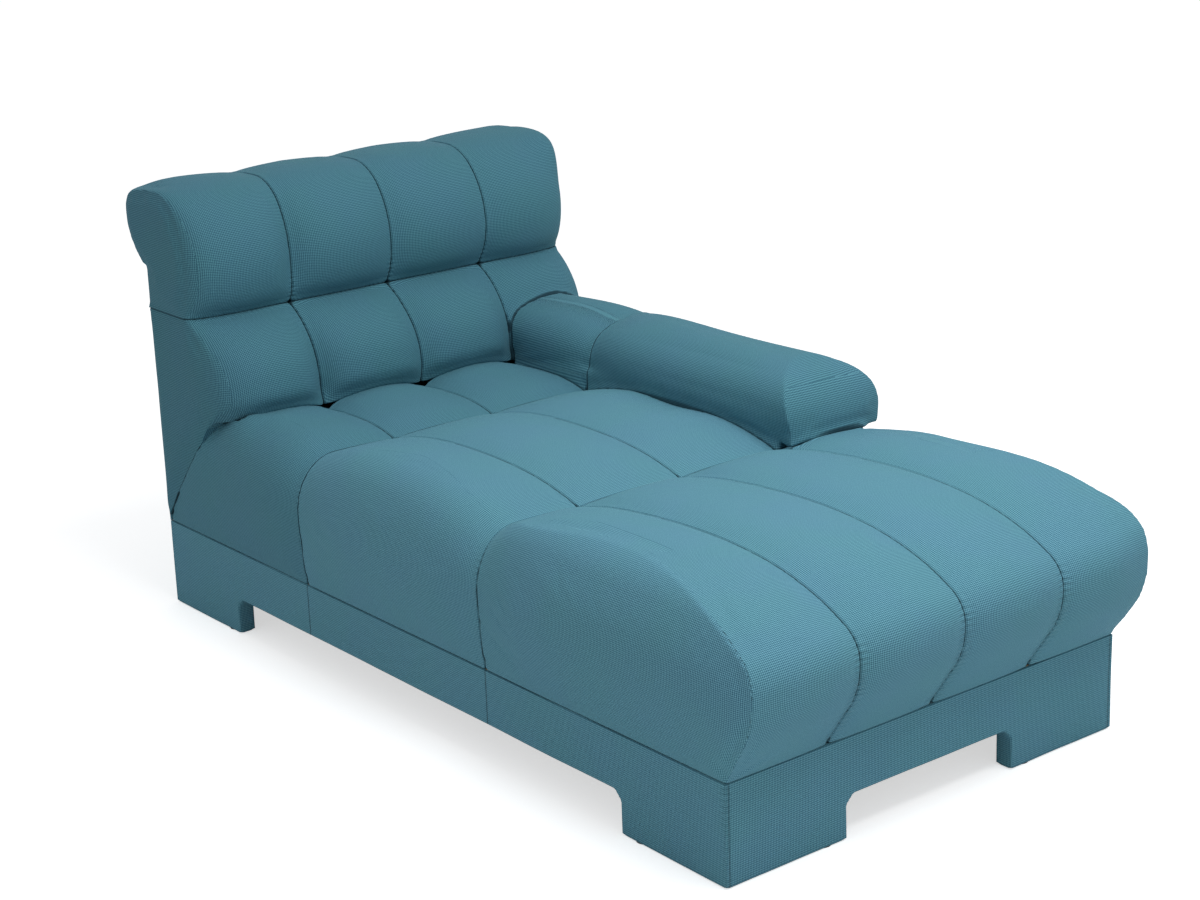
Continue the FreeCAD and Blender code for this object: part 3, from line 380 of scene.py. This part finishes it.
def cloth(name, across_and_up, sewing=None, painted_shade_factor=1.0):
    """Two-tone cloth of small diamonds. across_and_up gives the place on the cloth in metres, and sewing the
    height of the folds beside seams, in millimetres, and how dark the seams are. The last argument is
    painted shade: below 1 the whole cloth is painted darker, red most, as if it stood in shade."""
    paint = Paint(name)
    across, up = across_and_up(paint)
    turn = math.radians(WEAVE_ANGLE)
    fine = 2 * math.pi / WEAVE
    rising = (across * (fine * math.cos(turn)) + up * (fine * math.sin(turn))).sin()
    falling = (across * (fine * math.cos(turn)) - up * (fine * math.sin(turn))).sin()
    threads = rising * falling * 0.5 + 0.5
    flat = paint.vector(across, up)
    slub = paint.noise(paint.vector(across * 0.35, up), 900.0)
    mottle = paint.noise(flat, 7.0, 3.0)
    shown = (threads * 0.8 + slub * 0.35).between(0.25, 0.95)
    # Painted shade: both tones of the weave are darkened by the last argument of cloth.
    woven = paint.blend(shown, shaded_by_paint(THREAD_DARK, painted_shade_factor), shaded_by_paint(THREAD_LIGHT, painted_shade_factor))
    tone = paint.blend(mottle.between(0.3, 0.7), shaded_by_paint(CLOTH_WARM, painted_shade_factor), shaded_by_paint(CLOTH_COOL, painted_shade_factor))
    base = paint.blend(0.3, woven, tone)
    height = (threads + slub * 0.4) * 0.35
    if sewing:
        folds, seam = sewing(paint)
        height = height + folds
        base = paint.blend(seam, base, SEAM_SHADE)
    # Painted shade: the cloth along every seam where a pillow meets its neighbour is painted dark.
    base = paint.blend(paint.share_at("sewn").between(*SHADE_PAINTED_BY_SEAMS) * 0.88, base, SEAM_SHADE)
    paint.set("Base Color", base)
    paint.set("Roughness", threads * -0.1 + 0.9)
    paint.set("Specular IOR Level", 0.15)
    paint.set("Sheen Weight", 0.12)
    paint.set("Sheen Tint", CLOTH_SHEEN)
    paint.set("Sheen Roughness", 0.45)
    paint.bump(height, 1.0 * MM)
    return paint.material


def uneven_folds(paint, run):
    """A wave along a seam, from -1 to 1, that strays from an even spacing."""
    wander = paint.noise(paint.vector(*paint.place()), 60.0) * FOLD_WANDER
    return (run * (2 * math.pi / PUCKER_STEP) + wander).sin()


def puckers(paint, distance, run, reach, depth):
    """Small folds that run out from a seam and die away. The depth is in millimetres."""
    near = 1.0 - distance.between(0.0, reach)
    return uneven_folds(paint, run) * near * near * depth


def from_column_seam(x):
    """Distance to the nearest seam between two columns."""
    return ((x * (1 / column_width) + 0.5).part() - 0.5).size() * column_width


def side_folds(paint):
    """Folds beside the two seams that come down over the side."""
    x, y, z = paint.place()
    out = x.size().between(*SIDE_FACE)
    folds = 0.0
    for seam in row_seams:
        folds = puckers(paint, (y - seam).size(), z, 20 * MM, 0.8) * out + folds
    return folds


def front_sewing(paint):
    """Gathers along the seams between columns where they come down over the front, and along the mitred
    crease at the corners, which is sunk and painted dark as shade."""
    x, y, z = paint.place()
    inner = 1.0 - x.size().between(*SIDE_TURN)
    low = (1.0 - z.between(*GATHER_HEIGHT)) * (1.0 - y.between(*FRONT_TURN)) * inner
    mitre = paint.share_at("mitre")
    corner = (1.0 - y.between(*CORNER_TURN)) * x.size().between(*SIDE_TURN)
    crease = mitre.between(*CREASE_LINE) * corner
    gathers = uneven_folds(paint, z) * mitre * mitre * corner * 1.1
    folds = puckers(paint, from_column_seam(x), z, 32 * MM, 1.6) * low + side_folds(paint)
    # The second value paints shade into the crease.
    return folds + gathers - crease * 1.4, crease * 0.6


def seat_sewing(paint):
    """The middle and rear rows have folds at the sides only."""
    return side_folds(paint), 0.0


def back_sewing(paint):
    """Small folds beside the seam that crosses the back and where the columns meet it."""
    x, y, z = paint.place()
    level = (z - back_seam_height).size()
    near = (1.0 - level.between(*BACK_FOLDS)) * (1.0 - x.size().between(*SIDE_TURN))
    folds = puckers(paint, from_column_seam(x), z, 16 * MM, 0.7) * near
    return folds + puckers(paint, level, x, 10 * MM, 0.4), 0.0


def base_sewing(paint):
    """The seams that cross the base's cloth, sunk and dark, with small folds beside them."""
    x, y, z = paint.place()
    folds = 0.0
    line = 0.0
    for seam in row_seams:
        distance = (y - seam).size()
        out = x.size().between(*BASE_FACE)
        folds = puckers(paint, distance, z, 12 * MM, 0.5) * out + folds
        sunk = (1.0 - distance.between(*SEAM_LINE)) * out
        folds = folds - sunk * 1.5
        line = sunk * 0.55 + line
    for side in (base_low.y, base_high.y):
        along = x.size() * -1.0 + base_high.x
        distance = along + (y - side).size()
        folds = puckers(paint, distance, z, 26 * MM, 0.9) + folds
        edge = along.between(*CORNER_SEAM_IN) * (1.0 - along.between(*CORNER_SEAM_OUT))
        sunk = edge * (1.0 - (y - side).size().between(*CORNER_SEAM_DEEP))
        folds = folds - sunk
        line = sunk * 0.4 + line
    return folds, line


def timber(name, light, dark, grain):
    paint = Paint(name)
    x, y, z = paint.place()
    rings = paint.noise(paint.vector(x * 3, y * 0.6, z * 3), grain, 4.0)
    lines = (rings * 40).sin() * 0.5 + 0.5
    fleck = paint.noise(paint.vector(x * 12, y, z * 12), 90.0)
    paint.set("Base Color", paint.blend(lines * 0.6 + fleck * 0.4, light, dark))
    paint.set("Roughness", fleck * 0.2 + 0.6)
    paint.bump(fleck, 0.3 * MM, 0.5)
    return paint.material


def board(name, light, dark):
    """Board whose layers show on its edges."""
    paint = Paint(name)
    x, y, z = paint.place()
    layers = ((x + y) * 2600).sin() * 0.5 + 0.5
    fibre = paint.noise(paint.vector(x, y, z), 160.0, 3.0)
    paint.set("Base Color", paint.blend(layers * 0.3 + fibre * 0.7, light, dark))
    paint.set("Roughness", fibre * 0.15 + 0.65)
    paint.bump(fibre, 0.2 * MM, 0.5)
    return paint.material


def fleecy(name, light, dark, scale, height):
    """Felt, foam and lining: an even, finely mottled surface."""
    paint = Paint(name)
    x, y, z = paint.place()
    place = paint.vector(x, y, z)
    cells = paint.noise(place, scale, 3.0, 0.7)
    clouds = paint.noise(place, 9.0)
    paint.set("Base Color", paint.blend(cells * 0.6 + clouds * 0.4, light, dark))
    paint.set("Roughness", 0.95)
    paint.set("Specular IOR Level", 0.2)
    paint.bump(cells, height, 0.7)
    return paint.material


def strap_cloth(name):
    """Elastic webbing with crossed ribs."""
    paint = Paint(name)
    x, y, z = paint.place()
    ribs = ((x + y) * 2400).sin() * 0.5 + 0.5
    cross = ((x - y) * 2400).sin() * 0.5 + 0.5
    paint.set("Base Color", paint.blend(ribs * cross, colour(196, 186, 160), colour(120, 108, 84)))
    paint.set("Roughness", 0.85)
    paint.bump(ribs + cross, 0.2 * MM, 0.6)
    return paint.material


def plated_steel(name):
    paint = Paint(name)
    x, y, z = paint.place()
    scratches = paint.noise(paint.vector(x * 8, y * 8, z), 120.0, 3.0)
    paint.set("Base Color", paint.blend(scratches, colour(176, 178, 180), colour(140, 143, 146)))
    paint.set("Metallic", 1.0)
    paint.set("Roughness", scratches * 0.25 + 0.3)
    paint.bump(scratches, 0.05 * MM, 0.4)
    return paint.material


def nylon(name):
    paint = Paint(name)
    x, y, z = paint.place()
    scuff = paint.noise(paint.vector(x, y, z), 220.0, 3.0)
    paint.set("Base Color", paint.blend(scuff, colour(38, 40, 42), colour(62, 64, 66)))
    paint.set("Roughness", scuff * 0.25 + 0.4)
    paint.bump(scuff, 0.08 * MM, 0.5)
    return paint.material


def make_finishes():
    """The finish of every slot of the record."""
    return {
        # The outside back's cloth is painted darker, as painted shade.
        "cover_cloth": cloth("cover_cloth_on_plane", lambda paint: paint.place()[::2], painted_shade_factor=SHADE_PAINTED_OUTSIDE),
        "felt": fleecy("felt", colour(70, 76, 80), colour(46, 50, 54), 700.0, 0.5 * MM),
        "webbing": strap_cloth("webbing"),
        "foam": fleecy("foam_in_inner_cloth", colour(30, 62, 74), colour(20, 44, 54), 420.0, 0.6 * MM),
        "lining": fleecy("lining", colour(44, 46, 50), colour(26, 28, 30), 900.0, 0.2 * MM),
        "nylon": nylon("nylon"),
        "zinc_steel": plated_steel("zinc_steel"),
        "plywood": board("plywood", colour(214, 182, 134), colour(172, 134, 88)),
        "hardboard": board("hardboard", colour(128, 92, 62), colour(94, 66, 44)),
        "timber": timber("timber", colour(222, 192, 146), colour(188, 150, 102), 6.0),
    }


def dress_nodes(finishes):
    for part in frame["record"]["subparts"]:
        mesh = frame["nodes"][part["node"]].data
        mesh.materials.clear()
        mesh.materials.append(finishes[part["material_slot"]])


# Maps of the weave

class Wrap:
    """Length of cloth round a form, in one plane, from the side that faces the given way."""

    def __init__(self, tree, centre, first, second, facing):
        self.centre = centre
        self.first = first
        self.second = second
        self.facing = facing
        self.angles = np.linspace(-math.pi, math.pi, ROLL_STEPS)
        start = math.atan2(facing[1], facing[0])
        rim = []
        for angle in self.angles:
            ray = Vector((0, 0, 0))
            ray[first] = math.cos(start + angle)
            ray[second] = math.sin(start + angle)
            hit = tree.ray_cast(centre + ray * 2, -ray)[0]
            rim.append(hit or centre)
        steps = [(b - a).length for a, b in zip(rim, rim[1:])]
        self.lengths = np.concatenate(([0], np.cumsum(steps)))

    def length(self, points):
        a = points[:, self.first] - self.centre[self.first]
        b = points[:, self.second] - self.centre[self.second]
        ahead, left = self.facing
        angle = np.arctan2(b * ahead - a * left, a * ahead + b * left)
        return np.interp(angle, self.angles, self.lengths)


def lay_cloth(mesh, first, second=None, second_faces=None):
    """Writes the weave's map: first is the place on the cloth of each vertex. On the given faces
    the cloth lies the second way."""
    corners = corners_of(mesh)
    placed = first[corners]
    if second is not None:
        sizes = np.empty(len(mesh.polygons), dtype=int)
        mesh.polygons.foreach_get("loop_total", sizes)
        on_second = np.repeat(second_faces, sizes)
        placed[on_second] = second[corners][on_second]
    layer = mesh.uv_layers.new(name="weave")
    layer.data.foreach_set("uv", placed.ravel())


def sideways(mesh, sign):
    """How much more the cloth looks outwards than along, evened out over the mesh."""
    normals = normals_of(mesh)
    value = normals[:, 0] * sign - np.abs(normals[:, 1])
    ends = edges_of(mesh)
    one, other = ends.T
    count = np.bincount(ends.ravel(), minlength=len(value))
    for passing in range(EVEN_OUT):
        total = np.bincount(one, value[other], len(value)) + np.bincount(other, value[one], len(value))
        value = 0.5 * value + 0.5 * total / count
    return value


def face_frames(mesh):
    """Middle and normal of every face."""
    middles = np.empty(len(mesh.polygons) * 3)
    normals = np.empty(len(mesh.polygons) * 3)
    mesh.polygons.foreach_get("center", middles)
    mesh.polygons.foreach_get("normal", normals)
    return middles.reshape(-1, 3), normals.reshape(-1, 3)


# Pillows

def room_around(node, points):
    """How far each point may move before it would crowd the pieces around its pillow."""
    tree = surface_tree(neighbours(node))
    room = np.zeros(len(points))
    for number, point in enumerate(points):
        distance = tree.find_nearest(Vector(point), LOOK_ROUND)[3]
        room[number] = SWELL if distance is None else SHARE * distance - CLEARANCE
    return np.clip(room, 0, SWELL)


def blow_up(pillow, room):
    """The filling presses the cloth out between the places where it is held."""
    mesh = pillow.data
    formed = points_of(mesh)
    start = formed - normals_of(mesh) * (EASE * room / SWELL)[:, None]
    set_points(mesh, start)
    held = pillow.vertex_groups.new(name="held")
    held.add([int(index) for index in np.flatnonzero(room < HELD * SWELL)], 1.0, "REPLACE")
    filling = modify(pillow, "CLOTH")
    filling.settings.quality = 2
    filling.settings.mass = 0.3
    filling.settings.tension_stiffness = 12
    filling.settings.compression_stiffness = 12
    filling.settings.bending_stiffness = 0.6
    filling.settings.vertex_group_mass = "held"
    filling.settings.use_pressure = True
    filling.settings.uniform_pressure_force = PRESSURE
    filling.settings.effector_weights.gravity = 0
    filling.collision_settings.use_collision = False
    filling.point_cache.frame_end = SWELL_FRAMES
    for moment in range(1, SWELL_FRAMES + 1):
        bpy.context.scene.frame_set(moment)
    finish_modifiers(pillow)
    pillow.vertex_groups.clear()
    move = points_of(mesh) - formed
    length = np.linalg.norm(move, axis=1)
    limit = np.where((move * normals_of(mesh)).sum(axis=1) > 0, room, EASE * room / SWELL)
    share = np.where(length > limit, limit / np.maximum(length, 1e-9), 1.0)
    set_points(mesh, formed + move * share[:, None])
    bpy.context.scene.frame_set(1)


# Where the cloth sits a little differently from the drawn form: middle, reach and move
DENTS = {
    "seat_front_4": (((0.421, -0.845, 0.30), 0.12, (-0.011, 0.008, 0.0)),
                     ((0.410, -0.800, 0.385), 0.08, (0.005, -0.004, 0.003)),
                     ((0.350, -0.290, 0.420), 0.15, (0.0, 0.0, -0.009)),
                     ((0.400, -0.620, 0.405), 0.20, (0.003, 0.0, 0.004))),
    "seat_front_1": (((-0.421, -0.845, 0.30), 0.10, (0.005, 0.003, 0.0)),),
    "seat_rear_1": (((-0.385, 0.530, 0.375), 0.075, (0.0, 0.005, 0.014)),),
    "back_lower_1": (((-0.385, 0.530, 0.385), 0.070, (0.0, -0.004, -0.006)),),
    "seat_middle_3": (((0.205, 0.05, 0.415), 0.13, (0.0, 0.0, -0.009)),),
    "back_upper_4": (((0.410, 0.660, 0.750), 0.08, (0.003, -0.011, 0.012)),),
    "back_upper_1": (((-0.410, 0.750, 0.790), 0.09, (0.0, 0.0, -0.004)),),
    "arm_front": (((0.360, 0.02, 0.500), 0.30, (0.0, 0.0, -0.004)),
                  ((0.400, -0.225, 0.460), 0.08, (0.005, -0.004, 0.004))),
    "arm_rear": (((0.360, 0.44, 0.500), 0.20, (0.0, 0.0, -0.005)),),
}


def dent(mesh, name):
    points = points_of(mesh)
    for middle, reach, move in DENTS.get(name, ()):
        share = np.clip(1 - np.linalg.norm(points - middle, axis=1) / reach, 0, 1)
        points += (share * share * (3 - 2 * share))[:, None] * np.array(move)
    set_points(mesh, points)


def sharpen(mesh, node):
    """Lays the even mesh back on the CAD form, so that the edges along the seams stay crisp."""
    tree = surface_tree([node])
    points = points_of(mesh)
    for number, normal in enumerate(normals_of(mesh)):
        found, facing, _, _ = tree.find_nearest(Vector(points[number]))
        if facing.dot(Vector(normal)) > SAME_WAY:
            points[number] = found
    set_points(mesh, points)


def draw_together(mesh, node):
    """Closes the small openings that rounded edges leave between a pillow and what it is sewn to, and marks
    the cloth beside the seam, 1 at the seam and 0 further off. The cloth material paints shade along the
    seam where this mark is high."""
    sewn_to = [other for other in neighbours(node) if "pillow" in other or "cover" in other]
    tree = surface_tree(sewn_to)
    points = points_of(mesh)
    sewn = np.zeros(len(points))
    for number, point in enumerate(points):
        found, _, _, distance = tree.find_nearest(Vector(point), CLOSE)
        if found is not None:
            sewn[number] = 1 - distance / CLOSE
            points[number] += (np.array(found) - point) * PULL * (1 - (distance / CLOSE) ** 2)
    set_points(mesh, points)
    write_share(mesh, "sewn", sewn)


def rise(values, start, end):
    """From 0 at the start to 1 at the end."""
    return np.clip((values - start) / (end - start), 0, 1)


def arch(mesh, node):
    """Each column bulges up where the seat meets the back."""
    low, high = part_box(node)
    points = points_of(mesh)
    x, y, z = points.T
    column = np.clip(1 - ((x - (low.x + high.x) / 2) / ((high.x - low.x) / 2)) ** 2, 0, 1)
    if node.startswith("seat_pillow_rear"):
        near = rise(y, *ARCH_SEAT_ALONG) * rise(z, *ARCH_SEAT_UP)
    elif node.startswith("back_pillow_lower") and not node.endswith("4"):
        near = rise(z, *ARCH_BACK_DOWN) * rise(y, *ARCH_BACK_ALONG)
    else:
        return
    points[:, 2] += ARCH * column * near * near * (3 - 2 * near)
    if node.startswith("back"):
        bulge = np.exp(-((z - ARCH_BACK_HEIGHT) / ARCH_BACK_SPREAD) ** 2)
        points[:, 1] -= ARCH_FORWARDS * ARCH * column * bulge
    set_points(mesh, points)


def make_pillow(node, name, finish):
    """A sewn pillow in the form of its CAD solid: meshed evenly, blown up and smoothed."""
    pillow = copy_of(node, name)
    modify(pillow, "REMESH", mode="VOXEL", voxel_size=VOXEL, use_smooth_shade=True)
    finish_modifiers(pillow)
    sharpen(pillow.data, node)
    blow_up(pillow, room_around(node, points_of(pillow.data)))
    draw_together(pillow.data, node)
    arch(pillow.data, node)
    dent(pillow.data, name)
    modify(pillow, "SUBSURF", levels=1, render_levels=1)
    finish_modifiers(pillow)
    pillow.data.materials.append(finish)
    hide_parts(node)
    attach(pillow, "root")
    return pillow


def on_outer_side(mesh, sign, start):
    """Faces of an outer pillow past its crown that look more outwards than along it. The line where
    they begin is a mitred crease, marked 1 and less and less beside it."""
    value = sideways(mesh, sign)
    write_share(mesh, "mitre", np.clip(1 - np.abs(value) / CREASE_RUN, 0, 1))
    starts = np.empty(len(mesh.polygons), dtype=int)
    mesh.polygons.foreach_get("loop_start", starts)
    corners = corners_of(mesh)
    middle = (value[corners[starts]] + value[corners[starts + 2]]) / 2
    return (face_frames(mesh)[0][:, 0] * sign > start) & (middle > 0)


def side_map(tree, points, sign, crown, centre):
    """Place on the cloth that comes over the crown and down the outer side."""
    roll = Wrap(tree, centre, 0, 2, (sign * 0.7, 0.7))
    top = tree.ray_cast(Vector((sign * crown, centre.y, 2)), Vector((0, 0, -1)))[0]
    start = roll.length(np.array([top]))[0]
    across = sign * crown - (roll.length(points) - start)
    return np.column_stack((across, points[:, 1]))


def map_seat_pillow(pillow, node, column, rolls_over_front):
    tree = surface_tree([node])
    low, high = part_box(node)
    points = points_of(pillow.data)
    up = points[:, 1]
    if rolls_over_front:
        centre = Vector(((low.x + high.x) / 2, low.y + FRONT_IN, base_high.z + ROLL_RADIUS))
        up = Wrap(tree, centre, 1, 2, (-0.7, 0.7)).length(points)
    first = np.column_stack((points[:, 0], up))
    if column in (1, 4):
        sign = -1 if column == 1 else 1
        crown = outer_seam + 0.5 * column_pitch
        centre = Vector((sign * (crown - SIDE_IN), low.y + SIDE_ALONG, base_high.z + ROLL_RADIUS))
        second = side_map(tree, points, sign, crown, centre)
        faces = on_outer_side(pillow.data, sign, crown)
        lay_cloth(pillow.data, first, second, faces)
    else:
        lay_cloth(pillow.data, first)


def map_back_pillow(pillow, node, facing):
    tree = surface_tree([node])
    low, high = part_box(node)
    points = points_of(pillow.data)
    centre = Vector(((low.x + high.x) / 2, (low.y + high.y) / 2, (low.z + high.z) / 2))
    up = -Wrap(tree, centre, 1, 2, facing).length(points)
    first = np.column_stack((points[:, 0], up))
    second = np.column_stack((points[:, 1], points[:, 2]))
    normals = face_frames(pillow.data)[1]
    lay_cloth(pillow.data, first, second, np.abs(normals[:, 0]) > FLAT_SIDE)


def map_arm_pillow(pillow, node):
    tree = surface_tree([node])
    low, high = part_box(node)
    points = points_of(pillow.data)
    centre = Vector((outer_seam + 0.5 * column_pitch, (low.y + high.y) / 2, high.z - ROLL_RADIUS))
    across = -Wrap(tree, centre, 0, 2, (0.0, 1.0)).length(points)
    first = np.column_stack((across, points[:, 1]))
    nose = np.flatnonzero(points[:, 1] < low.y + NOSE_DEPTH)
    top = nose[np.argmax(points[nose, 2])]
    off = np.abs(points[nose, 0] - points[top, 0] - NOSE_STEP)
    beside = nose[np.argmax(points[nose, 2] - 2 * off)]
    turn = math.copysign(1, (across[beside] - across[top]) * (points[beside, 0] - points[top, 0]))
    over = points - points[top]
    second = np.column_stack((across[top] + turn * over[:, 0], points[top, 1] + over[:, 2]))
    normals = face_frames(pillow.data)[1]
    lay_cloth(pillow.data, first, second, normals[:, 1] < -NOSE)


def make_pillows():
    on_piece = Paint.weave_place
    front = cloth("cover_cloth_front", on_piece, front_sewing)
    seat = cloth("cover_cloth_seat", on_piece, seat_sewing)
    # The rear row, the back and the arm get cloth painted darker, as painted shade.
    rear = cloth("cover_cloth_seat_rear", on_piece, seat_sewing, SHADE_PAINTED_SEAT_REAR)
    back = cloth("cover_cloth_back", on_piece, back_sewing, SHADE_PAINTED_BACK)
    arm = cloth("cover_cloth_arm", on_piece, painted_shade_factor=SHADE_PAINTED_ARM)
    for row, count in (("front", 4), ("middle", 3), ("rear", 3)):
        for column in range(1, count + 1):
            node = "seat_pillow_%s_%d" % (row, column)
            finish = {"front": front, "middle": seat, "rear": rear}[row]
            pillow = make_pillow(node, "seat_%s_%d" % (row, column), finish)
            map_seat_pillow(pillow, node, column, row == "front")
    for column in range(1, 5):
        for level, facing in (("lower", (-1.0, 0.0)), ("upper", (-0.6, 0.8))):
            node = "back_pillow_%s_%d" % (level, column)
            pillow = make_pillow(node, "back_%s_%d" % (level, column), back)
            map_back_pillow(pillow, node, facing)
    for end in ("front", "rear"):
        node = "arm_pillow_" + end
        pillow = make_pillow(node, "arm_" + end, arm)
        map_arm_pillow(pillow, node)


# Base

def block(name, low, high):
    deselect()
    low = Vector(low)
    high = Vector(high)
    bpy.ops.mesh.primitive_cube_add(size=1, location=(low + high) / 2)
    piece = bpy.context.object
    piece.name = name
    piece.scale = high - low
    bpy.ops.object.transform_apply(location=True, rotation=True, scale=True)
    return piece


def cut_away(piece, cutter):
    modify(piece, "BOOLEAN", operation="DIFFERENCE", object=cutter, solver="EXACT")
    finish_modifiers(piece)
    bpy.data.objects.remove(cutter)


def make_base_cover():
    """The plinth's padded cloth: four walls with an opening between the feet on each side."""
    low = Vector((base_low.x, base_low.y, BASE_GAP))
    high = base_high
    cover = block("base_cover", low, high)
    cut_away(cover, block("inside", (low.x + WALL, low.y + WALL, -1), (high.x - WALL, high.y - WALL, 1)))
    openings = (((-1, low.y + FOOT, -1), (1, high.y - FOOT, APRON)),
                ((low.x + FOOT, -1.5, -1), (high.x - FOOT, 1.5, APRON)))
    for opening_low, opening_high in openings:
        cutter = block("opening", opening_low, opening_high)
        modify(cutter, "BEVEL", width=APRON_RADIUS, segments=8, limit_method="NONE")
        finish_modifiers(cutter)
        cut_away(cover, cutter)
    modify(cover, "REMESH", mode="VOXEL", voxel_size=BASE_VOXEL, use_smooth_shade=True)
    finish_modifiers(cover)
    mesh = cover.data
    points = points_of(mesh)
    normals = normals_of(mesh)
    wave = np.array([noise.noise(Vector(point) * BASE_WAVES) for point in points])
    points += normals * (wave * BASE_WAVE)[:, None]
    low_down = np.clip(1 - points[:, 2] / BASE_EDGE, 0, 1)
    points[:, 2] = np.maximum(points[:, 2] - BASE_SINK * low_down ** 2, BASE_GAP)
    set_points(mesh, points)
    along = np.column_stack((points[:, 1], points[:, 2]))
    across = np.column_stack((points[:, 0], points[:, 2]))
    facing = face_frames(mesh)[1]
    lay_cloth(mesh, along, across, np.abs(facing[:, 1]) > np.abs(facing[:, 0]))
    mesh.materials.append(cloth("cover_cloth_base", Paint.weave_place, base_sewing))
    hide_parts(*PLINTH_COVERS)
    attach(cover, "root")


# Room, light and camera

def make_floor():
    deselect()
    bpy.ops.mesh.primitive_plane_add(size=30, location=(0, 0, 0))
    floor = bpy.context.object
    floor.name = "floor"
    paint = Paint("floor")
    paint.set("Base Color", colour(240, 240, 240))
    paint.set("Roughness", 0.9)
    paint.set("Specular IOR Level", 0.1)
    glow = paint.node("ShaderNodeEmission", {}, {"Color": (1, 1, 1, 1), "Strength": FLOOR_WHITE})
    path = paint.node("ShaderNodeLightPath", {}, {}, "Is Camera Ray")
    lit = Signal(paint, paint.shader.outputs[0])
    shown = paint.node("ShaderNodeMixShader", {}, {0: path * FLOOR_SHARE, 1: lit, 2: glow})
    paint.plug(paint.tree.nodes["Material Output"].inputs["Surface"], shown)
    floor.data.materials.append(paint.material)


def make_world():
    world = bpy.data.worlds.new("studio")
    bpy.context.scene.world = world
    world.use_nodes = True
    nodes = world.node_tree.nodes
    links = world.node_tree.links
    background = nodes["Background"]
    background.inputs["Strength"].default_value = SKY
    background.inputs["Color"].default_value = (0.96, 0.98, 1.0, 1.0)
    white = nodes.new("ShaderNodeBackground")
    white.inputs["Color"].default_value = (1, 1, 1, 1)
    path = nodes.new("ShaderNodeLightPath")
    seen = nodes.new("ShaderNodeMath")
    seen.operation = "ADD"
    links.new(path.outputs["Is Camera Ray"], seen.inputs[0])
    links.new(path.outputs["Is Glossy Ray"], seen.inputs[1])
    either = nodes.new("ShaderNodeMath")
    either.operation = "ADD"
    either.use_clamp = True
    links.new(seen.outputs[0], either.inputs[0])
    links.new(path.outputs["Is Transmission Ray"], either.inputs[1])
    mix = nodes.new("ShaderNodeMixShader")
    links.new(either.outputs[0], mix.inputs[0])
    links.new(background.outputs[0], mix.inputs[1])
    links.new(white.outputs[0], mix.inputs[2])
    links.new(mix.outputs[0], nodes["World Output"].inputs["Surface"])


def make_lamp(name, place, aim, size, watts):
    deselect()
    bpy.ops.object.light_add(type="AREA", location=place)
    lamp = bpy.context.object
    lamp.name = name
    lamp.data.size = size
    lamp.data.energy = watts
    lamp.rotation_euler = (Vector(aim) - Vector(place)).to_track_quat("-Z", "Y").to_euler()


def make_camera():
    azimuth, tilt, roll = (math.radians(angle) for angle in (CAMERA_HEADING, CAMERA_TILT, CAMERA_ROLL))
    back = Vector((math.sin(azimuth) * math.cos(tilt), -math.cos(azimuth) * math.cos(tilt), math.sin(tilt)))
    level = Vector((0, 0, 1)).cross(back).normalized()
    upright = back.cross(level)
    right = level * math.cos(roll) + upright * math.sin(roll)
    up = upright * math.cos(roll) - level * math.sin(roll)
    data = bpy.data.cameras.new("camera")
    data.lens = CAMERA_LENS
    data.sensor_width = 36
    data.clip_end = 100
    camera = bpy.data.objects.new("camera", data)
    bpy.context.scene.collection.objects.link(camera)
    camera.matrix_world = Matrix.Translation(CAMERA_PLACE) @ Matrix((right, up, back)).transposed().to_4x4()
    bpy.context.scene.camera = camera


make_camera()
make_world()
make_floor()
make_lamp("key_lamp", LAMP_PLACE, LAMP_AIM, LAMP_SIZE, LAMP_POWER)
bpy.context.scene.view_settings.view_transform = "Standard"

dress_nodes(make_finishes())
make_pillows()
make_base_cover()
